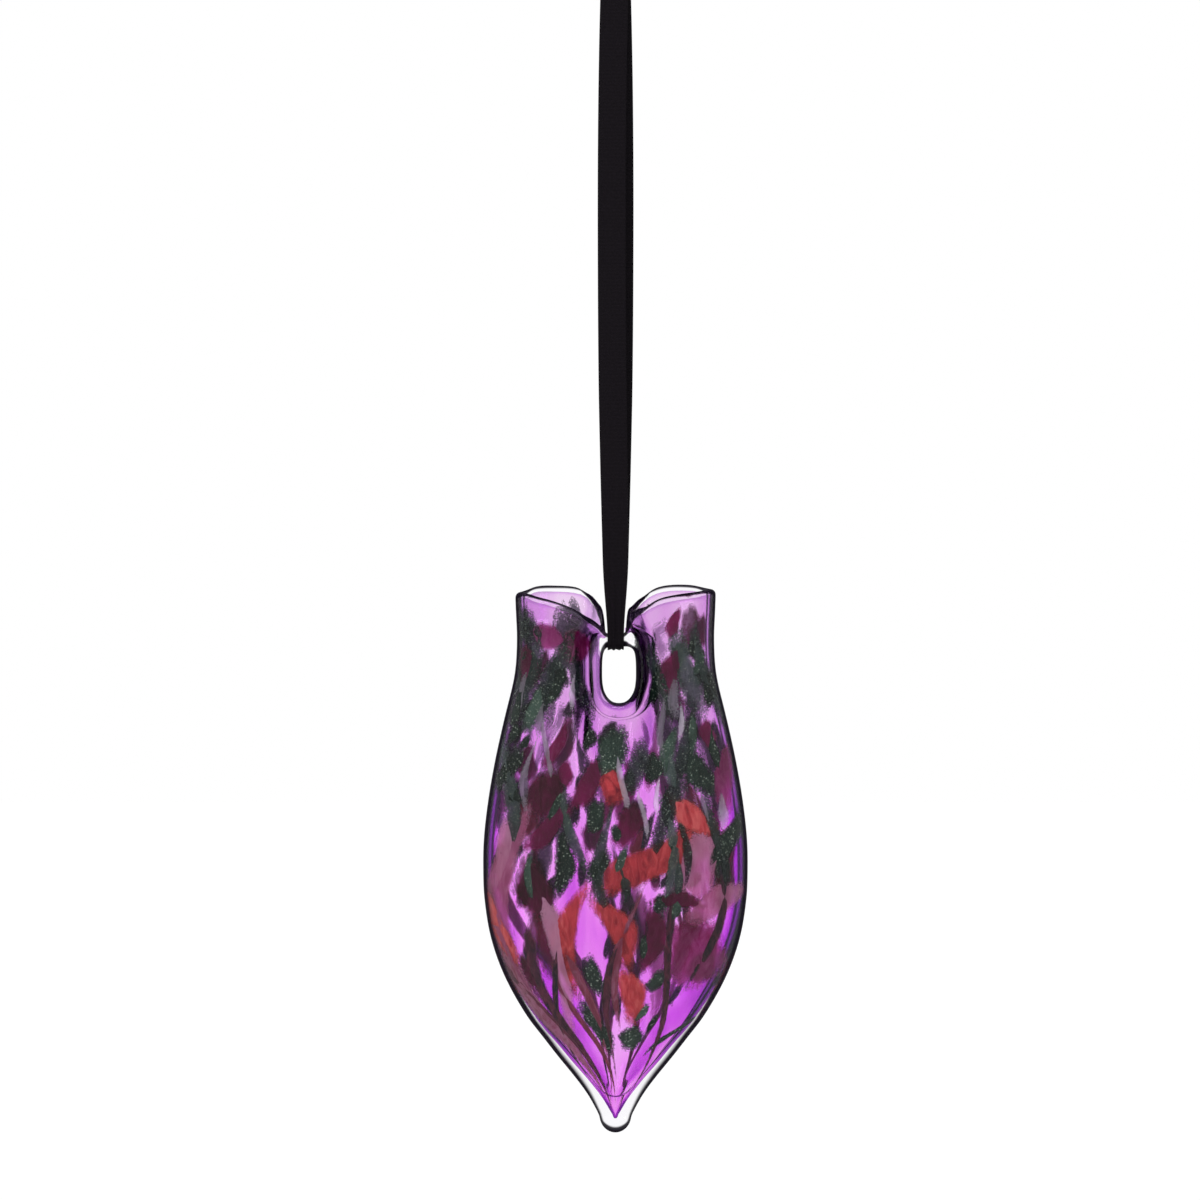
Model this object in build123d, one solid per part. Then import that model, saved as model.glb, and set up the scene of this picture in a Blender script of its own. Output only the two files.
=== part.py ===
import math
import os

from build123d import *

# Hanging wall vase: a flattened blown glass pocket, pinched and pierced below its
# rim, hung by a loop of black ribbon. All sizes are in millimetres.
# Origin: where the ribbon's loop bears on its peg. X to the right, Z up,
# Y towards the wall, so the front faces -Y.

# Vase, outside
VASE_HEIGHT = 250.0
VASE_WIDTH = 122.0
VASE_DEPTH = 58.0
FLAT_BACK_Y = 25.0

# Glass layers
CASING_THICK = 1.8
FLANK_THICK = 8.2
LINING_THICK = 1.8
CHIP_THICK = 0.8
LAYER_GAP = 0.05
LIP_HEIGHT = 2.5
LEVEL_STEPS = 30
FOOT_HALF = 2.6
CASING_FOOT_SHARE = 0.036
LINING_FOOT_SHARE = CASING_FOOT_SHARE + 0.002
CHIP_FLOOR_SHARE = 0.050
SEAT_FLOOR_SHARE = CHIP_FLOOR_SHARE + 0.001
POCKET_FOOT_SHARE = 0.075

# Frit chips
CHIP_WIDTH = 9.5
CHIP_LENGTH = 18.0
CHIP_PITCH = 18.0
CHIP_ROW_PITCH = 22.5
CHIP_FOOT_SHARE = 0.18
CHIP_TOP_SHARE = 0.91
CHIP_ROOM_SHARE = 0.79
HOLE_KEEP_OUT = 23.0

# Pierced hole and its rounded lip
HOLE_WIDTH = 15.4
HOLE_HEIGHT = 25.8
HOLE_X = 1.6
LIP_RADIUS = 3.2
HOLE_TOP_RADIUS = 3.8
HOLE_FOOT_RADIUS = 6.5
WEB_WALL = 1.2
WEB_TOP_WALL = 3.0
WAIST_HALF = 4.4
PINCH_HALF = 18.0
PINCH_TOP_HALF = 11.0
BAR_SHARE = 0.912

# Ribbon
RIBBON_WIDTH = 12.7
RIBBON_THICK = 1.0
GATHER_WIDTH = 7.4
GATHER_LENGTH = 100.0
RIBBON_DROP = 326.0
RIBBON_CLEAR = 0.3
SLOT_CLEAR = 0.9
LOOP_LEG = 6.0
NECK_LENGTH = 14.0
SPLIT_GAP = 0.2
LAP_LENGTH = 24.0
LAP_MARGIN = 2.0
THREAD_RADIUS = 0.3
STITCHES_PER_ROW = 5

# Sizes that follow from these
HALF_WIDTH = VASE_WIDTH / 2
HALF_DEPTH = VASE_DEPTH / 2
BAR_Z = -RIBBON_DROP
TIP_Z = BAR_Z - BAR_SHARE * VASE_HEIGHT
TURN_RADIUS = LIP_RADIUS + RIBBON_CLEAR
HOLE_TOP_Z = BAR_Z - LIP_RADIUS
HOLE_Z = HOLE_TOP_Z - HOLE_HEIGHT / 2
SLOT_HALF = GATHER_WIDTH / 2 + SLOT_CLEAR
BAR_TOP_Z = BAR_Z + LIP_RADIUS
MOUTH_TOP_Z = TIP_Z + 1.15 * VASE_HEIGHT

# Shape of the vase from the rim down: share of height, of half width, of half depth
OUTLINE = (
    (1.050, 0.754, 0.74),
    (0.975, 0.752, 0.73),
    (0.912, 0.742, 0.71),
    (0.848, 0.760, 0.73),
    (0.766, 0.840, 0.82),
    (0.693, 0.907, 0.90),
    (0.620, 0.960, 0.96),
    (0.545, 0.996, 1.00),
    (0.490, 1.000, 1.00),
    (0.437, 0.989, 0.99),
    (0.364, 0.941, 0.96),
    (0.291, 0.836, 0.90),
    (0.218, 0.670, 0.79),
    (0.181, 0.554, 0.71),
    (0.144, 0.438, 0.62),
    (0.108, 0.318, 0.50),
    (0.071, 0.207, 0.37),
    (0.032, 0.121, 0.2545),
)
TIP_SHARE, TIP_WIDTH_SHARE, _ = OUTLINE[-1]

# Rim of the two lobes, seen from the front: offset from the axis, height over the bar's top.
# The offsets belong to a vase of this width and grow with it
RIM_DRAWN_WIDTH = 122.0
RIM_FRONT = (
    (-48.0, 18.0),
    (-39.0, 17.2),
    (-27.6, 14.7),
    (-16.2, 10.1),
    (-10.7, 6.0),
    (-7.0, 2.4),
    (-4.9, 0.0),
    (4.6, 0.0),
    (5.4, 5.0),
    (7.6, 8.3),
    (12.6, 12.1),
    (19.4, 16.0),
    (28.6, 18.0),
    (42.3, 19.2),
    (48.0, 19.4),
)
RIM_BACK = (
    (-48.0, 18.0),
    (-39.0, 20.0),
    (-27.6, 20.0),
    (-16.2, 18.6),
    (-10.7, 15.0),
    (-6.6, 8.0),
    (-4.9, 0.0),
    (4.6, 0.0),
    (5.4, 5.0),
    (7.6, 9.5),
    (12.6, 15.0),
    (19.4, 19.0),
    (28.6, 20.5),
    (42.3, 20.2),
    (48.0, 19.4),
)


def ease(value, low, high):
    """0 below low, 1 above high, smooth between."""
    t = min(max((value - low) / (high - low), 0.0), 1.0)
    return t * t * (3 - 2 * t)


def pinch_at(share):
    """Depth and half width of the squeezed middle at a share of the height."""
    deep = ease(share, 0.56, 0.83)
    wide = PINCH_HALF - (PINCH_HALF - PINCH_TOP_HALF) * ease(share, 0.90, 0.97)
    return deep, wide


def half_depth_at(x, share, half_width, half_depth):
    """How far the outer surface lies from the middle plane at x."""
    round_off = max(1 - (x / half_width) ** 2, 0.0) ** 0.5
    deep, wide = pinch_at(share)
    squeezed = 1 - WAIST_HALF / half_depth
    return half_depth * round_off * (1 - deep * squeezed * math.exp(-((x / wide) ** 4)))


def level_wire(share, half_width, half_depth, inset):
    """One level of a surface that lies inset inside the outer one."""
    wide = half_width - inset
    steps = LEVEL_STEPS
    front = []
    back = []
    for i in range(steps + 1):
        x = wide * math.cos(math.pi * i / steps)
        outer_x = x * half_width / wide
        deep = half_depth_at(outer_x, share, half_width, half_depth)
        shrink = inset * (1 - (x / wide) ** 8)
        deep = max(deep - shrink, 0.6 * (1 - (x / wide) ** 8))
        deep = 0.0 if i in (0, steps) else deep
        front.append(Vector(x, -deep, TIP_Z + share * VASE_HEIGHT))
        back.append(Vector(-x, deep, TIP_Z + share * VASE_HEIGHT))
    turn = Vector(0, math.pi * half_depth, 0)
    pace = [i / steps for i in range(steps + 1)]
    front_edge = Edge.make_spline(front, [-turn, turn], parameters=pace, scale=False)
    back_edge = Edge.make_spline(back, [turn, -turn], parameters=pace, scale=False)
    return Wire([front_edge, back_edge])


def inset_at(share, thin):
    """Glass in front of a layer: thin over the belly, thick on the lower flanks."""
    return thin + (FLANK_THICK - CASING_THICK) * (1 - ease(share, 0.14, 0.48))


def glass_form(thin, foot):
    """Closed form whose surface lies under the outer one. Thin is the glass over it at the belly."""
    wires = []
    for share, wide, deep in OUTLINE:
        inset = inset_at(share, thin) if thin else 0.0
        half_width = wide * HALF_WIDTH
        half_depth = deep * HALF_DEPTH
        if not thin or share > foot:
            wires.append(level_wire(share, half_width, half_depth, inset))
    if thin:
        wires.append(level_wire(foot, FOOT_HALF, FOOT_HALF, 0.0))
    form = Solid.make_loft(wires)
    block = Box(2 * VASE_WIDTH, 2 * VASE_DEPTH, 2 * VASE_HEIGHT)
    behind = Pos(0, FLAT_BACK_Y - thin + VASE_DEPTH, TIP_Z + VASE_HEIGHT / 2) * block
    return form - behind


def lip_outline(grow):
    """Outline along the middle of the hole's rounded lip, grown outwards."""
    wide = HOLE_WIDTH + 2 * LIP_RADIUS + 2 * grow
    tall = HOLE_HEIGHT + 2 * LIP_RADIUS + 2 * grow
    face = Plane.XZ * (Pos(HOLE_X, HOLE_Z) * Rectangle(wide - 2 * LIP_RADIUS, tall - 2 * LIP_RADIUS))
    top = face.vertices().group_by(Axis.Z)[-1]
    face = fillet(top, HOLE_TOP_RADIUS + grow)
    foot = face.vertices().group_by(Axis.Z)[0]
    return fillet(foot, HOLE_FOOT_RADIUS + grow)


def through(face):
    """Prism of an outline in the XZ plane, right through the vase."""
    return extrude(face, amount=VASE_DEPTH, both=True)


def bar_block(half_width, x, foot_z):
    """Block between the two mouths, from a height up past the rim."""
    tall = MOUTH_TOP_Z - foot_z
    return Pos(x, 0, foot_z + tall / 2) * Box(2 * half_width, 2 * VASE_DEPTH, tall)


def web_block(grow):
    """Where front and back are fused: round the hole and up between the mouths."""
    web = through(lip_outline(2 * LIP_RADIUS + WEB_WALL + grow))
    return web + bar_block(SLOT_HALF + WEB_TOP_WALL + grow, HOLE_X, HOLE_TOP_Z)


def rim_cutter(points, lower, front):
    """Everything above one side's rim line, lowered by a margin."""
    line = []
    for x, rise in points:
        line.append((x * VASE_WIDTH / RIM_DRAWN_WIDTH, BAR_TOP_Z + rise - lower))
    high = MOUTH_TOP_Z
    ends = [(VASE_WIDTH, line[-1][1]), (VASE_WIDTH, high)]
    ends += [(-VASE_WIDTH, high), (-VASE_WIDTH, line[0][1])]
    curve = Polyline(*line, *ends, close=True)
    face = Plane.XZ * make_face(curve)
    return extrude(face, amount=VASE_DEPTH if front else -VASE_DEPTH)


def above_rim(lower):
    """What lies above the rim on both sides."""
    return rim_cutter(RIM_FRONT, lower, True) + rim_cutter(RIM_BACK, lower, False)


def chip_face(x, z, wide, tall, lean):
    """Outline of one chip: a drop with its point up."""
    points = [(0, 0.5), (0.32, 0.12), (0.5, -0.2), (0.3, -0.44), (0, -0.5)]
    points += [(-0.3, -0.44), (-0.5, -0.2), (-0.32, 0.12)]
    curve = Spline([(px * wide, pz * tall) for px, pz in points], periodic=True)
    return Plane.XZ * (Pos(x, z) * Rot(0, 0, lean) * make_face(curve))


def half_width_at(share):
    """Half width of the outer surface at a share of the height."""
    for (high, wide_high, _), (low, wide_low, _) in zip(OUTLINE, OUTLINE[1:]):
        if low <= share <= high:
            t = (share - low) / (high - low)
            return HALF_WIDTH * (wide_low + t * (wide_high - wide_low))
    return HALF_WIDTH * OUTLINE[0][1]


def chip_layer_half(share):
    """Half width of the layer that the chips lie in at a share of the height."""
    return half_width_at(share) - inset_at(share, CASING_THICK)


def chip_kind(row, col, side, share):
    """Colour of a chip: green low down, all three on the belly, plum and coral by the mouths."""
    turn = (row + 2 * col + side) % 3
    if share < 0.34:
        return "plum" if turn == 1 else "green"
    if share > 0.80:
        return "coral" if turn == 1 else "plum"
    return ("green", "coral", "plum")[turn]


# Rounded lip of the pierced hole. Its top is the bar that the ribbon hangs by
lip_path = lip_outline(LIP_RADIUS).wire()
lip_start = Plane((HOLE_X, 0, BAR_Z), x_dir=(0, 1, 0), z_dir=(1, 0, 0))
hole_lip = sweep(lip_start * Circle(LIP_RADIUS), path=lip_path)

# Clear casing
outer_form = glass_form(0.0, 0.0)
ribbon_slot = bar_block(SLOT_HALF, 0, HOLE_Z)
hole_cut = through(lip_outline(LIP_RADIUS))
lip_room = sweep(lip_start * Circle(LIP_RADIUS + LAYER_GAP), path=lip_path)
casing_hollow = glass_form(CASING_THICK, CASING_FOOT_SHARE) - web_block(0.0)
casing = outer_form - casing_hollow
casing = casing - hole_cut - lip_room - ribbon_slot
casing = casing - above_rim(0.0)

# Violet lining, shorter than the casing so that the lip of each mouth is clear
above_lining = above_rim(LIP_HEIGHT)
lining_form = glass_form(CASING_THICK + LAYER_GAP, LINING_FOOT_SHARE)
pocket = glass_form(CASING_THICK + LINING_THICK, POCKET_FOOT_SHARE) - web_block(LINING_THICK)
lining = lining_form - web_block(LAYER_GAP)
lining = lining - pocket
lining = lining - above_lining

# Frit chips: drops of coloured glass sunk in the lining's outer face, in staggered rows
chip_floor = glass_form(CASING_THICK + LAYER_GAP + CHIP_THICK, CHIP_FLOOR_SHARE)
chip_layer = lining_form - chip_floor
seat_floor = glass_form(CASING_THICK + 2 * LAYER_GAP + CHIP_THICK, SEAT_FLOOR_SHARE)
seat_layer = lining_form - seat_floor
chips = {"green": [], "coral": [], "plum": []}
seats = []
rows = int((CHIP_TOP_SHARE - CHIP_FOOT_SHARE) * VASE_HEIGHT / CHIP_ROW_PITCH) + 1
for side in (-1, 1):
    for row in range(rows):
        reach = CHIP_LENGTH / 2 / VASE_HEIGHT
        share = CHIP_FOOT_SHARE + row * CHIP_ROW_PITCH / VASE_HEIGHT
        room = CHIP_ROOM_SHARE * min(chip_layer_half(share - reach), chip_layer_half(share + reach))
        shift = 0.5 * CHIP_PITCH * ((row + (side + 1) // 2) % 2)
        count = int(2 * room / CHIP_PITCH) + 1
        for col in range(-count, count + 1):
            x = col * CHIP_PITCH + shift
            z = TIP_Z + share * VASE_HEIGHT + 2.2 * math.sin(2.1 * col + 1.3 * row + side)
            near_hole = abs(x - HOLE_X) < HOLE_KEEP_OUT and z > HOLE_Z - HOLE_KEEP_OUT - 8
            if abs(x) > room or near_hole:
                continue
            kind = chip_kind(row, col, side, share)
            slim = 0.62 + 0.38 * ease(share, 0.15, 0.45)
            wide = CHIP_WIDTH * slim * (1 + 0.16 * math.sin(3.7 * col + row))
            tall = CHIP_LENGTH * (1 + 0.10 * math.sin(1.9 * row + 2.3 * col))
            lean = x * (0.55 * (1 - ease(share, 0.2, 0.6)) - 0.12)
            through_side = -side * VASE_DEPTH
            chips[kind].append(extrude(chip_face(x, z, wide, tall, lean), amount=through_side))
            grown = chip_face(x, z, wide + 2 * LAYER_GAP, tall + 2 * LAYER_GAP, lean)
            seats.append(extrude(grown, amount=through_side))
green_frit = Compound(children=chips["green"]) & chip_layer
coral_frit = Compound(children=chips["coral"]) & chip_layer
plum_frit = Compound(children=chips["plum"]) & chip_layer
lining = lining - (Compound(children=seats) & seat_layer)

# Clear drop at the point
drop_high = TIP_SHARE * VASE_HEIGHT
drop_wide = TIP_WIDTH_SHARE * HALF_WIDTH
tip_drop = scale(Sphere(drop_wide), (1, 1, drop_high / drop_wide))
tip_drop = Pos(0, 0, TIP_Z + drop_high) * split(tip_drop, Plane.XY, keep=Keep.BOTTOM)

# Ribbon, made flat and folded: loop over the peg, two necks, two strands, the turn under the bar
STRAND_Y = TURN_RADIUS + RIBBON_THICK / 2
PEG_Z = -TURN_RADIUS
LEG_END_Z = PEG_Z - LOOP_LEG
SWING_Z = LEG_END_Z - SPLIT_GAP - RIBBON_WIDTH / 2
SPLIT_Z = SWING_Z - NECK_LENGTH
STRAND_TOP_Z = SPLIT_Z - SPLIT_GAP


def half_turn(axis_z, width, upper):
    """Half a tube of ribbon round a level bar or peg."""
    ring = Circle(TURN_RADIUS + RIBBON_THICK) - Circle(TURN_RADIUS)
    side = 1 if upper else -1
    half = Pos(0, side * RIBBON_DROP / 2) * Rectangle(RIBBON_DROP, RIBBON_DROP)
    tube = extrude(Plane.YZ * (ring & half), amount=width / 2, both=True)
    return Pos(0, 0, axis_z) * tube


def flat_strip(face, side):
    """Strip of ribbon on the front (-1) or back (1) side of the bar."""
    strip = extrude(face, amount=RIBBON_THICK / 2, both=True)
    return Pos(0, side * STRAND_Y, 0) * strip


def strand_face():
    """Outline of a long strand: full width, then gathered towards the bar."""
    full = RIBBON_WIDTH / 2
    tight = GATHER_WIDTH / 2
    gather_z = BAR_Z + GATHER_LENGTH
    right = Spline((full, gather_z), (tight, BAR_Z), tangents=((0, -1), (0, -1)))
    left = Spline((-tight, BAR_Z), (-full, gather_z), tangents=((0, 1), (0, 1)))
    top = Polyline((-full, gather_z), (-full, STRAND_TOP_Z), (full, STRAND_TOP_Z), (full, gather_z))
    foot = Line((tight, BAR_Z), (-tight, BAR_Z))
    return Plane.XZ * make_face([*top.edges(), right, foot, left])


leg_face = Plane.XZ * (Pos(0, PEG_Z - LOOP_LEG / 2) * Rectangle(RIBBON_WIDTH, LOOP_LEG))
top_loop = half_turn(PEG_Z, RIBBON_WIDTH, True)
top_loop += flat_strip(leg_face, -1) + flat_strip(leg_face, 1)

neck_face = Pos(0, SWING_Z) * Circle(RIBBON_WIDTH / 2)
neck_face += Pos(0, (SWING_Z + SPLIT_Z) / 2) * Rectangle(RIBBON_WIDTH, SWING_Z - SPLIT_Z)
neck_face = Plane.XZ * neck_face
neck_front = flat_strip(neck_face, -1)
neck_back = flat_strip(neck_face, 1)

strand_front = flat_strip(strand_face(), -1)
strand_back = flat_strip(strand_face(), 1)
bight = half_turn(BAR_Z, GATHER_WIDTH, False)

# Sewn lap that closes the ribbon, on the back strand, with two rows of thread
LAP_Y = STRAND_Y + RIBBON_THICK
LAP_TOP_Z = STRAND_TOP_Z - LAP_MARGIN
lap_face = Plane.XZ * (Pos(0, LAP_TOP_Z - LAP_LENGTH / 2) * Rectangle(RIBBON_WIDTH, LAP_LENGTH))
lap = Pos(0, LAP_Y, 0) * extrude(lap_face, amount=RIBBON_THICK / 2, both=True)
stitch_pitch = RIBBON_WIDTH / STITCHES_PER_ROW
stitch_long = 0.6 * stitch_pitch
stitches = []
for row in (0.2, 0.8):
    for i in range(STITCHES_PER_ROW):
        x = (i - (STITCHES_PER_ROW - 1) / 2) * stitch_pitch
        spot = Pos(x, LAP_Y + RIBBON_THICK / 2, LAP_TOP_Z - row * LAP_LENGTH)
        bar = spot * (Rot(0, 90, 0) * Cylinder(THREAD_RADIUS, stitch_long))
        stitches.append(split(bar, Plane.XZ.offset(-LAP_Y - RIBBON_THICK / 2), keep=Keep.BOTTOM))
thread = Compound(children=stitches)

NODES = {
    "clear_casing": casing,
    "violet_lining": lining,
    "hole_lip": hole_lip,
    "tip_drop": tip_drop,
    "green_frit": green_frit,
    "coral_frit": coral_frit,
    "plum_frit": plum_frit,
    "ribbon_top_loop": top_loop,
    "ribbon_neck_front": neck_front,
    "ribbon_neck_back": neck_back,
    "ribbon_strand_front": strand_front,
    "ribbon_strand_back": strand_back,
    "ribbon_bight": bight,
    "ribbon_lap": lap,
    "lap_thread": thread,
}
print("ribbon arcs, radius of the middle line: loop", STRAND_Y, "turn under the bar", STRAND_Y)
strand_long = STRAND_TOP_Z - BAR_Z
print("ribbon from split to split:", 2 * strand_long + math.pi * STRAND_Y)
os.makedirs("parts", exist_ok=True)
for name, item in NODES.items():
    box = item.bounding_box()
    print(name, len(item.solids()), round(item.volume, 1), item.is_valid)
    print("  ", box.min, box.max)
    export_step(item, f"parts/{name}.step")
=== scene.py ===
"""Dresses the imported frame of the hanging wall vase: blown glass with frit, and its ribbon."""

import logging
import math
import random
from dataclasses import dataclass, field
from enum import Enum
from typing import Callable, Iterable, Optional, Sequence

import bmesh
import bpy
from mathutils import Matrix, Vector
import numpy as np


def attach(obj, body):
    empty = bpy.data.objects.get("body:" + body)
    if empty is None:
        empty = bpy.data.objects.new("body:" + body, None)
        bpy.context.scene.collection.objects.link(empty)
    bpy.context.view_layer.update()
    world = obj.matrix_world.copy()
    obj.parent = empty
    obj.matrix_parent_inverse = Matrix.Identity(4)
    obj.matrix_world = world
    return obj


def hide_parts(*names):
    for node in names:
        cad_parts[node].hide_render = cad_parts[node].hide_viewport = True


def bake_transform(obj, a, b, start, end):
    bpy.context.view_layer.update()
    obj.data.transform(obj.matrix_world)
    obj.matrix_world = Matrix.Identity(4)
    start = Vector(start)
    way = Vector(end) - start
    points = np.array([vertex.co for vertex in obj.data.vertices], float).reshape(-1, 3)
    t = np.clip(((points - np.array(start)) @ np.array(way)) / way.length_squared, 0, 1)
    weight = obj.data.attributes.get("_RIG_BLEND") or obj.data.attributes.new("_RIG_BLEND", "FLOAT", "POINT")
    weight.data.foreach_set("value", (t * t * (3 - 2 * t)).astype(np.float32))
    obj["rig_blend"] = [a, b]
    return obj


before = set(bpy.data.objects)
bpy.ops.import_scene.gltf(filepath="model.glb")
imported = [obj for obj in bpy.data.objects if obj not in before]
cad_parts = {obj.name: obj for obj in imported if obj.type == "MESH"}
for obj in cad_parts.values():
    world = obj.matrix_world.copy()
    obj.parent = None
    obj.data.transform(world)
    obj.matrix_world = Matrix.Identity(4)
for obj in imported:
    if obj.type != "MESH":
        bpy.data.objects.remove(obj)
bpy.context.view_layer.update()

log = logging.getLogger("vase")
MM = 0.001
SAFE_EXPONENT = 40.0
EVEN = (1.0, 1.0, 1.0)
WHITE = (1.0, 1.0, 1.0)
Pair = tuple[float, float]
Triple = tuple[float, float, float]
Grid = list[list[bmesh.types.BMVert]]
Plan = list[list[Pair]]


class Side(Enum):
    """Front and back of the vase, as the sign of Y."""

    FRONT = -1
    BACK = 1


def ease(value: float, low: float, high: float) -> float:
    """Smooth step from 0 at low to 1 at high."""
    t = min(max((value - low) / (high - low), 0.0), 1.0)
    return t * t * (3 - 2 * t)


def lerp(a: float, b: float, t: float) -> float:
    """Straight mix of two numbers."""
    return a + (b - a) * t


def swing(t: float) -> float:
    """Share of the way across a half round, 0 to 1, at an even share of its arc."""
    return (1 - math.cos(math.pi * t)) / 2


def smooth_table(table: Sequence[Sequence[float]], at: float, column: int) -> float:
    """Reads a table with a smooth curve through its rows.

    Args:
        table: rows whose first number rises from row to row.
        at: the first number to read at.
        column: which number of the rows to read.

    Returns:
        The value of the curve.
    """
    rows = table
    if at <= rows[0][0]:
        return rows[0][column]
    if at >= rows[-1][0]:
        return rows[-1][column]
    i = max(k for k in range(len(rows) - 1) if rows[k][0] <= at)
    x0, x1 = rows[i][0], rows[i + 1][0]
    y0, y1 = rows[i][column], rows[i + 1][column]
    low, high = rows[max(i - 1, 0)], rows[min(i + 2, len(rows) - 1)]
    m0 = (y1 - low[column]) / (x1 - low[0])
    m1 = (high[column] - y0) / (high[0] - x0)
    w = x1 - x0
    t = (at - x0) / w
    a = (1 + 2 * t) * (1 - t) ** 2 * y0 + t * (1 - t) ** 2 * w * m0
    return a + t * t * (3 - 2 * t) * y1 + t * t * (t - 1) * w * m1


@dataclass(frozen=True)
class VaseShape:
    """Form of the vase in millimetres. Heights are over the point of the drop."""

    height: float = 250.0
    half_width: float = 61.0
    half_depth: float = 29.0
    flat_back: float = 25.0
    back_softness: float = 1.4
    waist_half: float = 4.4
    waist_wide: float = 18.0
    waist_slims: float = 7.0
    waist_range: Pair = (0.56, 0.83)
    waist_slim_range: Pair = (0.90, 0.97)
    bar_half: float = 3.0
    bar_reach: float = 6.5
    bar_height: float = 228.0
    bar_fade: Pair = (9.0, 2.0)
    tip_z: float = -554.0
    hole_x: float = 1.6
    flank_extra: float = 6.4
    flank_range: Pair = (0.14, 0.48)
    point_share: float = 0.72
    point_range: Pair = (6.0, 34.0)
    least_room: float = 0.1
    least_depth: float = 0.2
    edge_power: int = 8
    rim_level_range: Pair = (36.0, 41.5)
    foot_length: float = 3.0
    speck: float = 0.00001
    lip_radius: float = 3.2
    lip_half_wide: float = 10.9
    lip_half_tall: float = 16.1
    hole_height: float = 211.9
    outline: tuple = (
        (0.032, 0.121, 0.2545),
        (0.071, 0.207, 0.37),
        (0.108, 0.318, 0.50),
        (0.144, 0.438, 0.62),
        (0.181, 0.554, 0.71),
        (0.218, 0.670, 0.79),
        (0.291, 0.836, 0.90),
        (0.364, 0.941, 0.96),
        (0.437, 0.989, 0.99),
        (0.490, 1.000, 1.00),
        (0.545, 0.996, 1.00),
        (0.620, 0.960, 0.96),
        (0.693, 0.907, 0.90),
        (0.766, 0.840, 0.82),
        (0.848, 0.760, 0.73),
        (0.912, 0.742, 0.71),
        (0.975, 0.752, 0.73),
        (1.050, 0.754, 0.74),
    )
    rim_front: tuple = (
        (-48.0, 17.6),
        (-39.0, 17.2),
        (-27.6, 14.7),
        (-16.2, 10.1),
        (-10.7, 6.0),
        (-7.0, 2.0),
        (-4.9, 0.0),
        (4.6, 0.0),
        (5.4, 3.6),
        (7.6, 8.3),
        (12.6, 12.1),
        (19.4, 16.0),
        (28.6, 18.0),
        (42.3, 19.2),
        (48.0, 19.0),
    )
    rim_back: tuple = (
        (-48.0, 17.6),
        (-39.0, 20.0),
        (-27.6, 20.0),
        (-16.2, 18.6),
        (-10.7, 15.0),
        (-6.6, 7.0),
        (-4.9, 0.0),
        (4.6, 0.0),
        (5.4, 4.0),
        (7.6, 9.5),
        (12.6, 15.0),
        (19.4, 19.0),
        (28.6, 20.5),
        (42.3, 20.2),
        (48.0, 19.0),
    )

    def across(self, high: float, column: int) -> float:
        """Share of the half width (1) or half depth (2) at a height, round at the drop.

        Args:
            high: height over the point.
            column: 1 for the width, 2 for the depth.

        Returns:
            The share, 1 at the belly.
        """
        share = high / self.height
        foot = self.outline[0]
        if share < foot[0]:
            drop = max(1 - ((foot[0] - share) / foot[0]) ** 2, 0.0)
            return foot[column] * drop**0.5
        return smooth_table(self.outline, share, column)

    def width_at(self, high: float) -> float:
        """Half width of the outer glass at a height."""
        return max(self.half_width * self.across(high, 1), self.speck)

    def at_bar(self, x: float, high: float) -> float:
        """1 on the slim bar that the ribbon goes round, 0 away from it.

        Args:
            x: offset from the axis.
            high: height over the point.

        Returns:
            How much of the bar is there.
        """
        start, end = (self.bar_height - below for below in self.bar_fade)
        near = ease(high, start, end)
        return near * math.exp(-((x / self.bar_reach) ** 4))

    def depth_at(self, x: float, high: float, side: Side) -> float:
        """Distance of the outer glass from the middle plane.

        Args:
            x: offset from the axis.
            high: height over the point.
            side: front or back.

        Returns:
            The distance, pinched round the hole and flat at the back.
        """
        deepest = max(self.half_depth * self.across(high, 2), self.speck)
        share = high / self.height
        bow = max(1 - (x / self.width_at(high)) ** 2, 0.0) ** 0.5
        waist = lerp(self.waist_half, self.bar_half, self.at_bar(x, high))
        pinch = ease(share, *self.waist_range) * max(1 - waist / deepest, 0.0)
        wide = self.waist_wide - self.waist_slims * ease(share, *self.waist_slim_range)
        deep = deepest * bow * (1 - pinch * math.exp(-((x / wide) ** 4)))
        if side is Side.BACK:
            k = self.back_softness
            past = min(k * (deep - self.flat_back), SAFE_EXPONENT)
            deep = deep - math.log1p(math.exp(past)) / k
        return max(deep, 0.0)

    def glass_over(self, high: float, thin: float) -> float:
        """Glass outside an inner layer: thin at the belly, thick on the lower flanks.

        Args:
            high: height over the point.
            thin: the glass at the belly, 0 for the outer face.

        Returns:
            The thickness.
        """
        if not thin:
            return 0.0
        flank = 1 - ease(high / self.height, *self.flank_range)
        grown = lerp(self.point_share, 1.0, ease(high, *self.point_range))
        return thin + self.flank_extra * flank * grown

    def foot_round(self, high: float, foot: float) -> float:
        """How much of an inner layer's width is left near its rounded foot.

        Args:
            high: height over the point.
            foot: height of the foot, 0 for none.

        Returns:
            The share, 0 at the foot and 1 above its rounding.
        """
        if not foot:
            return 1.0
        short = min(max((foot + self.foot_length - high) / self.foot_length, 0.0), 1.0)
        return max(1 - short * short, 0.0) ** 0.5

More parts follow.
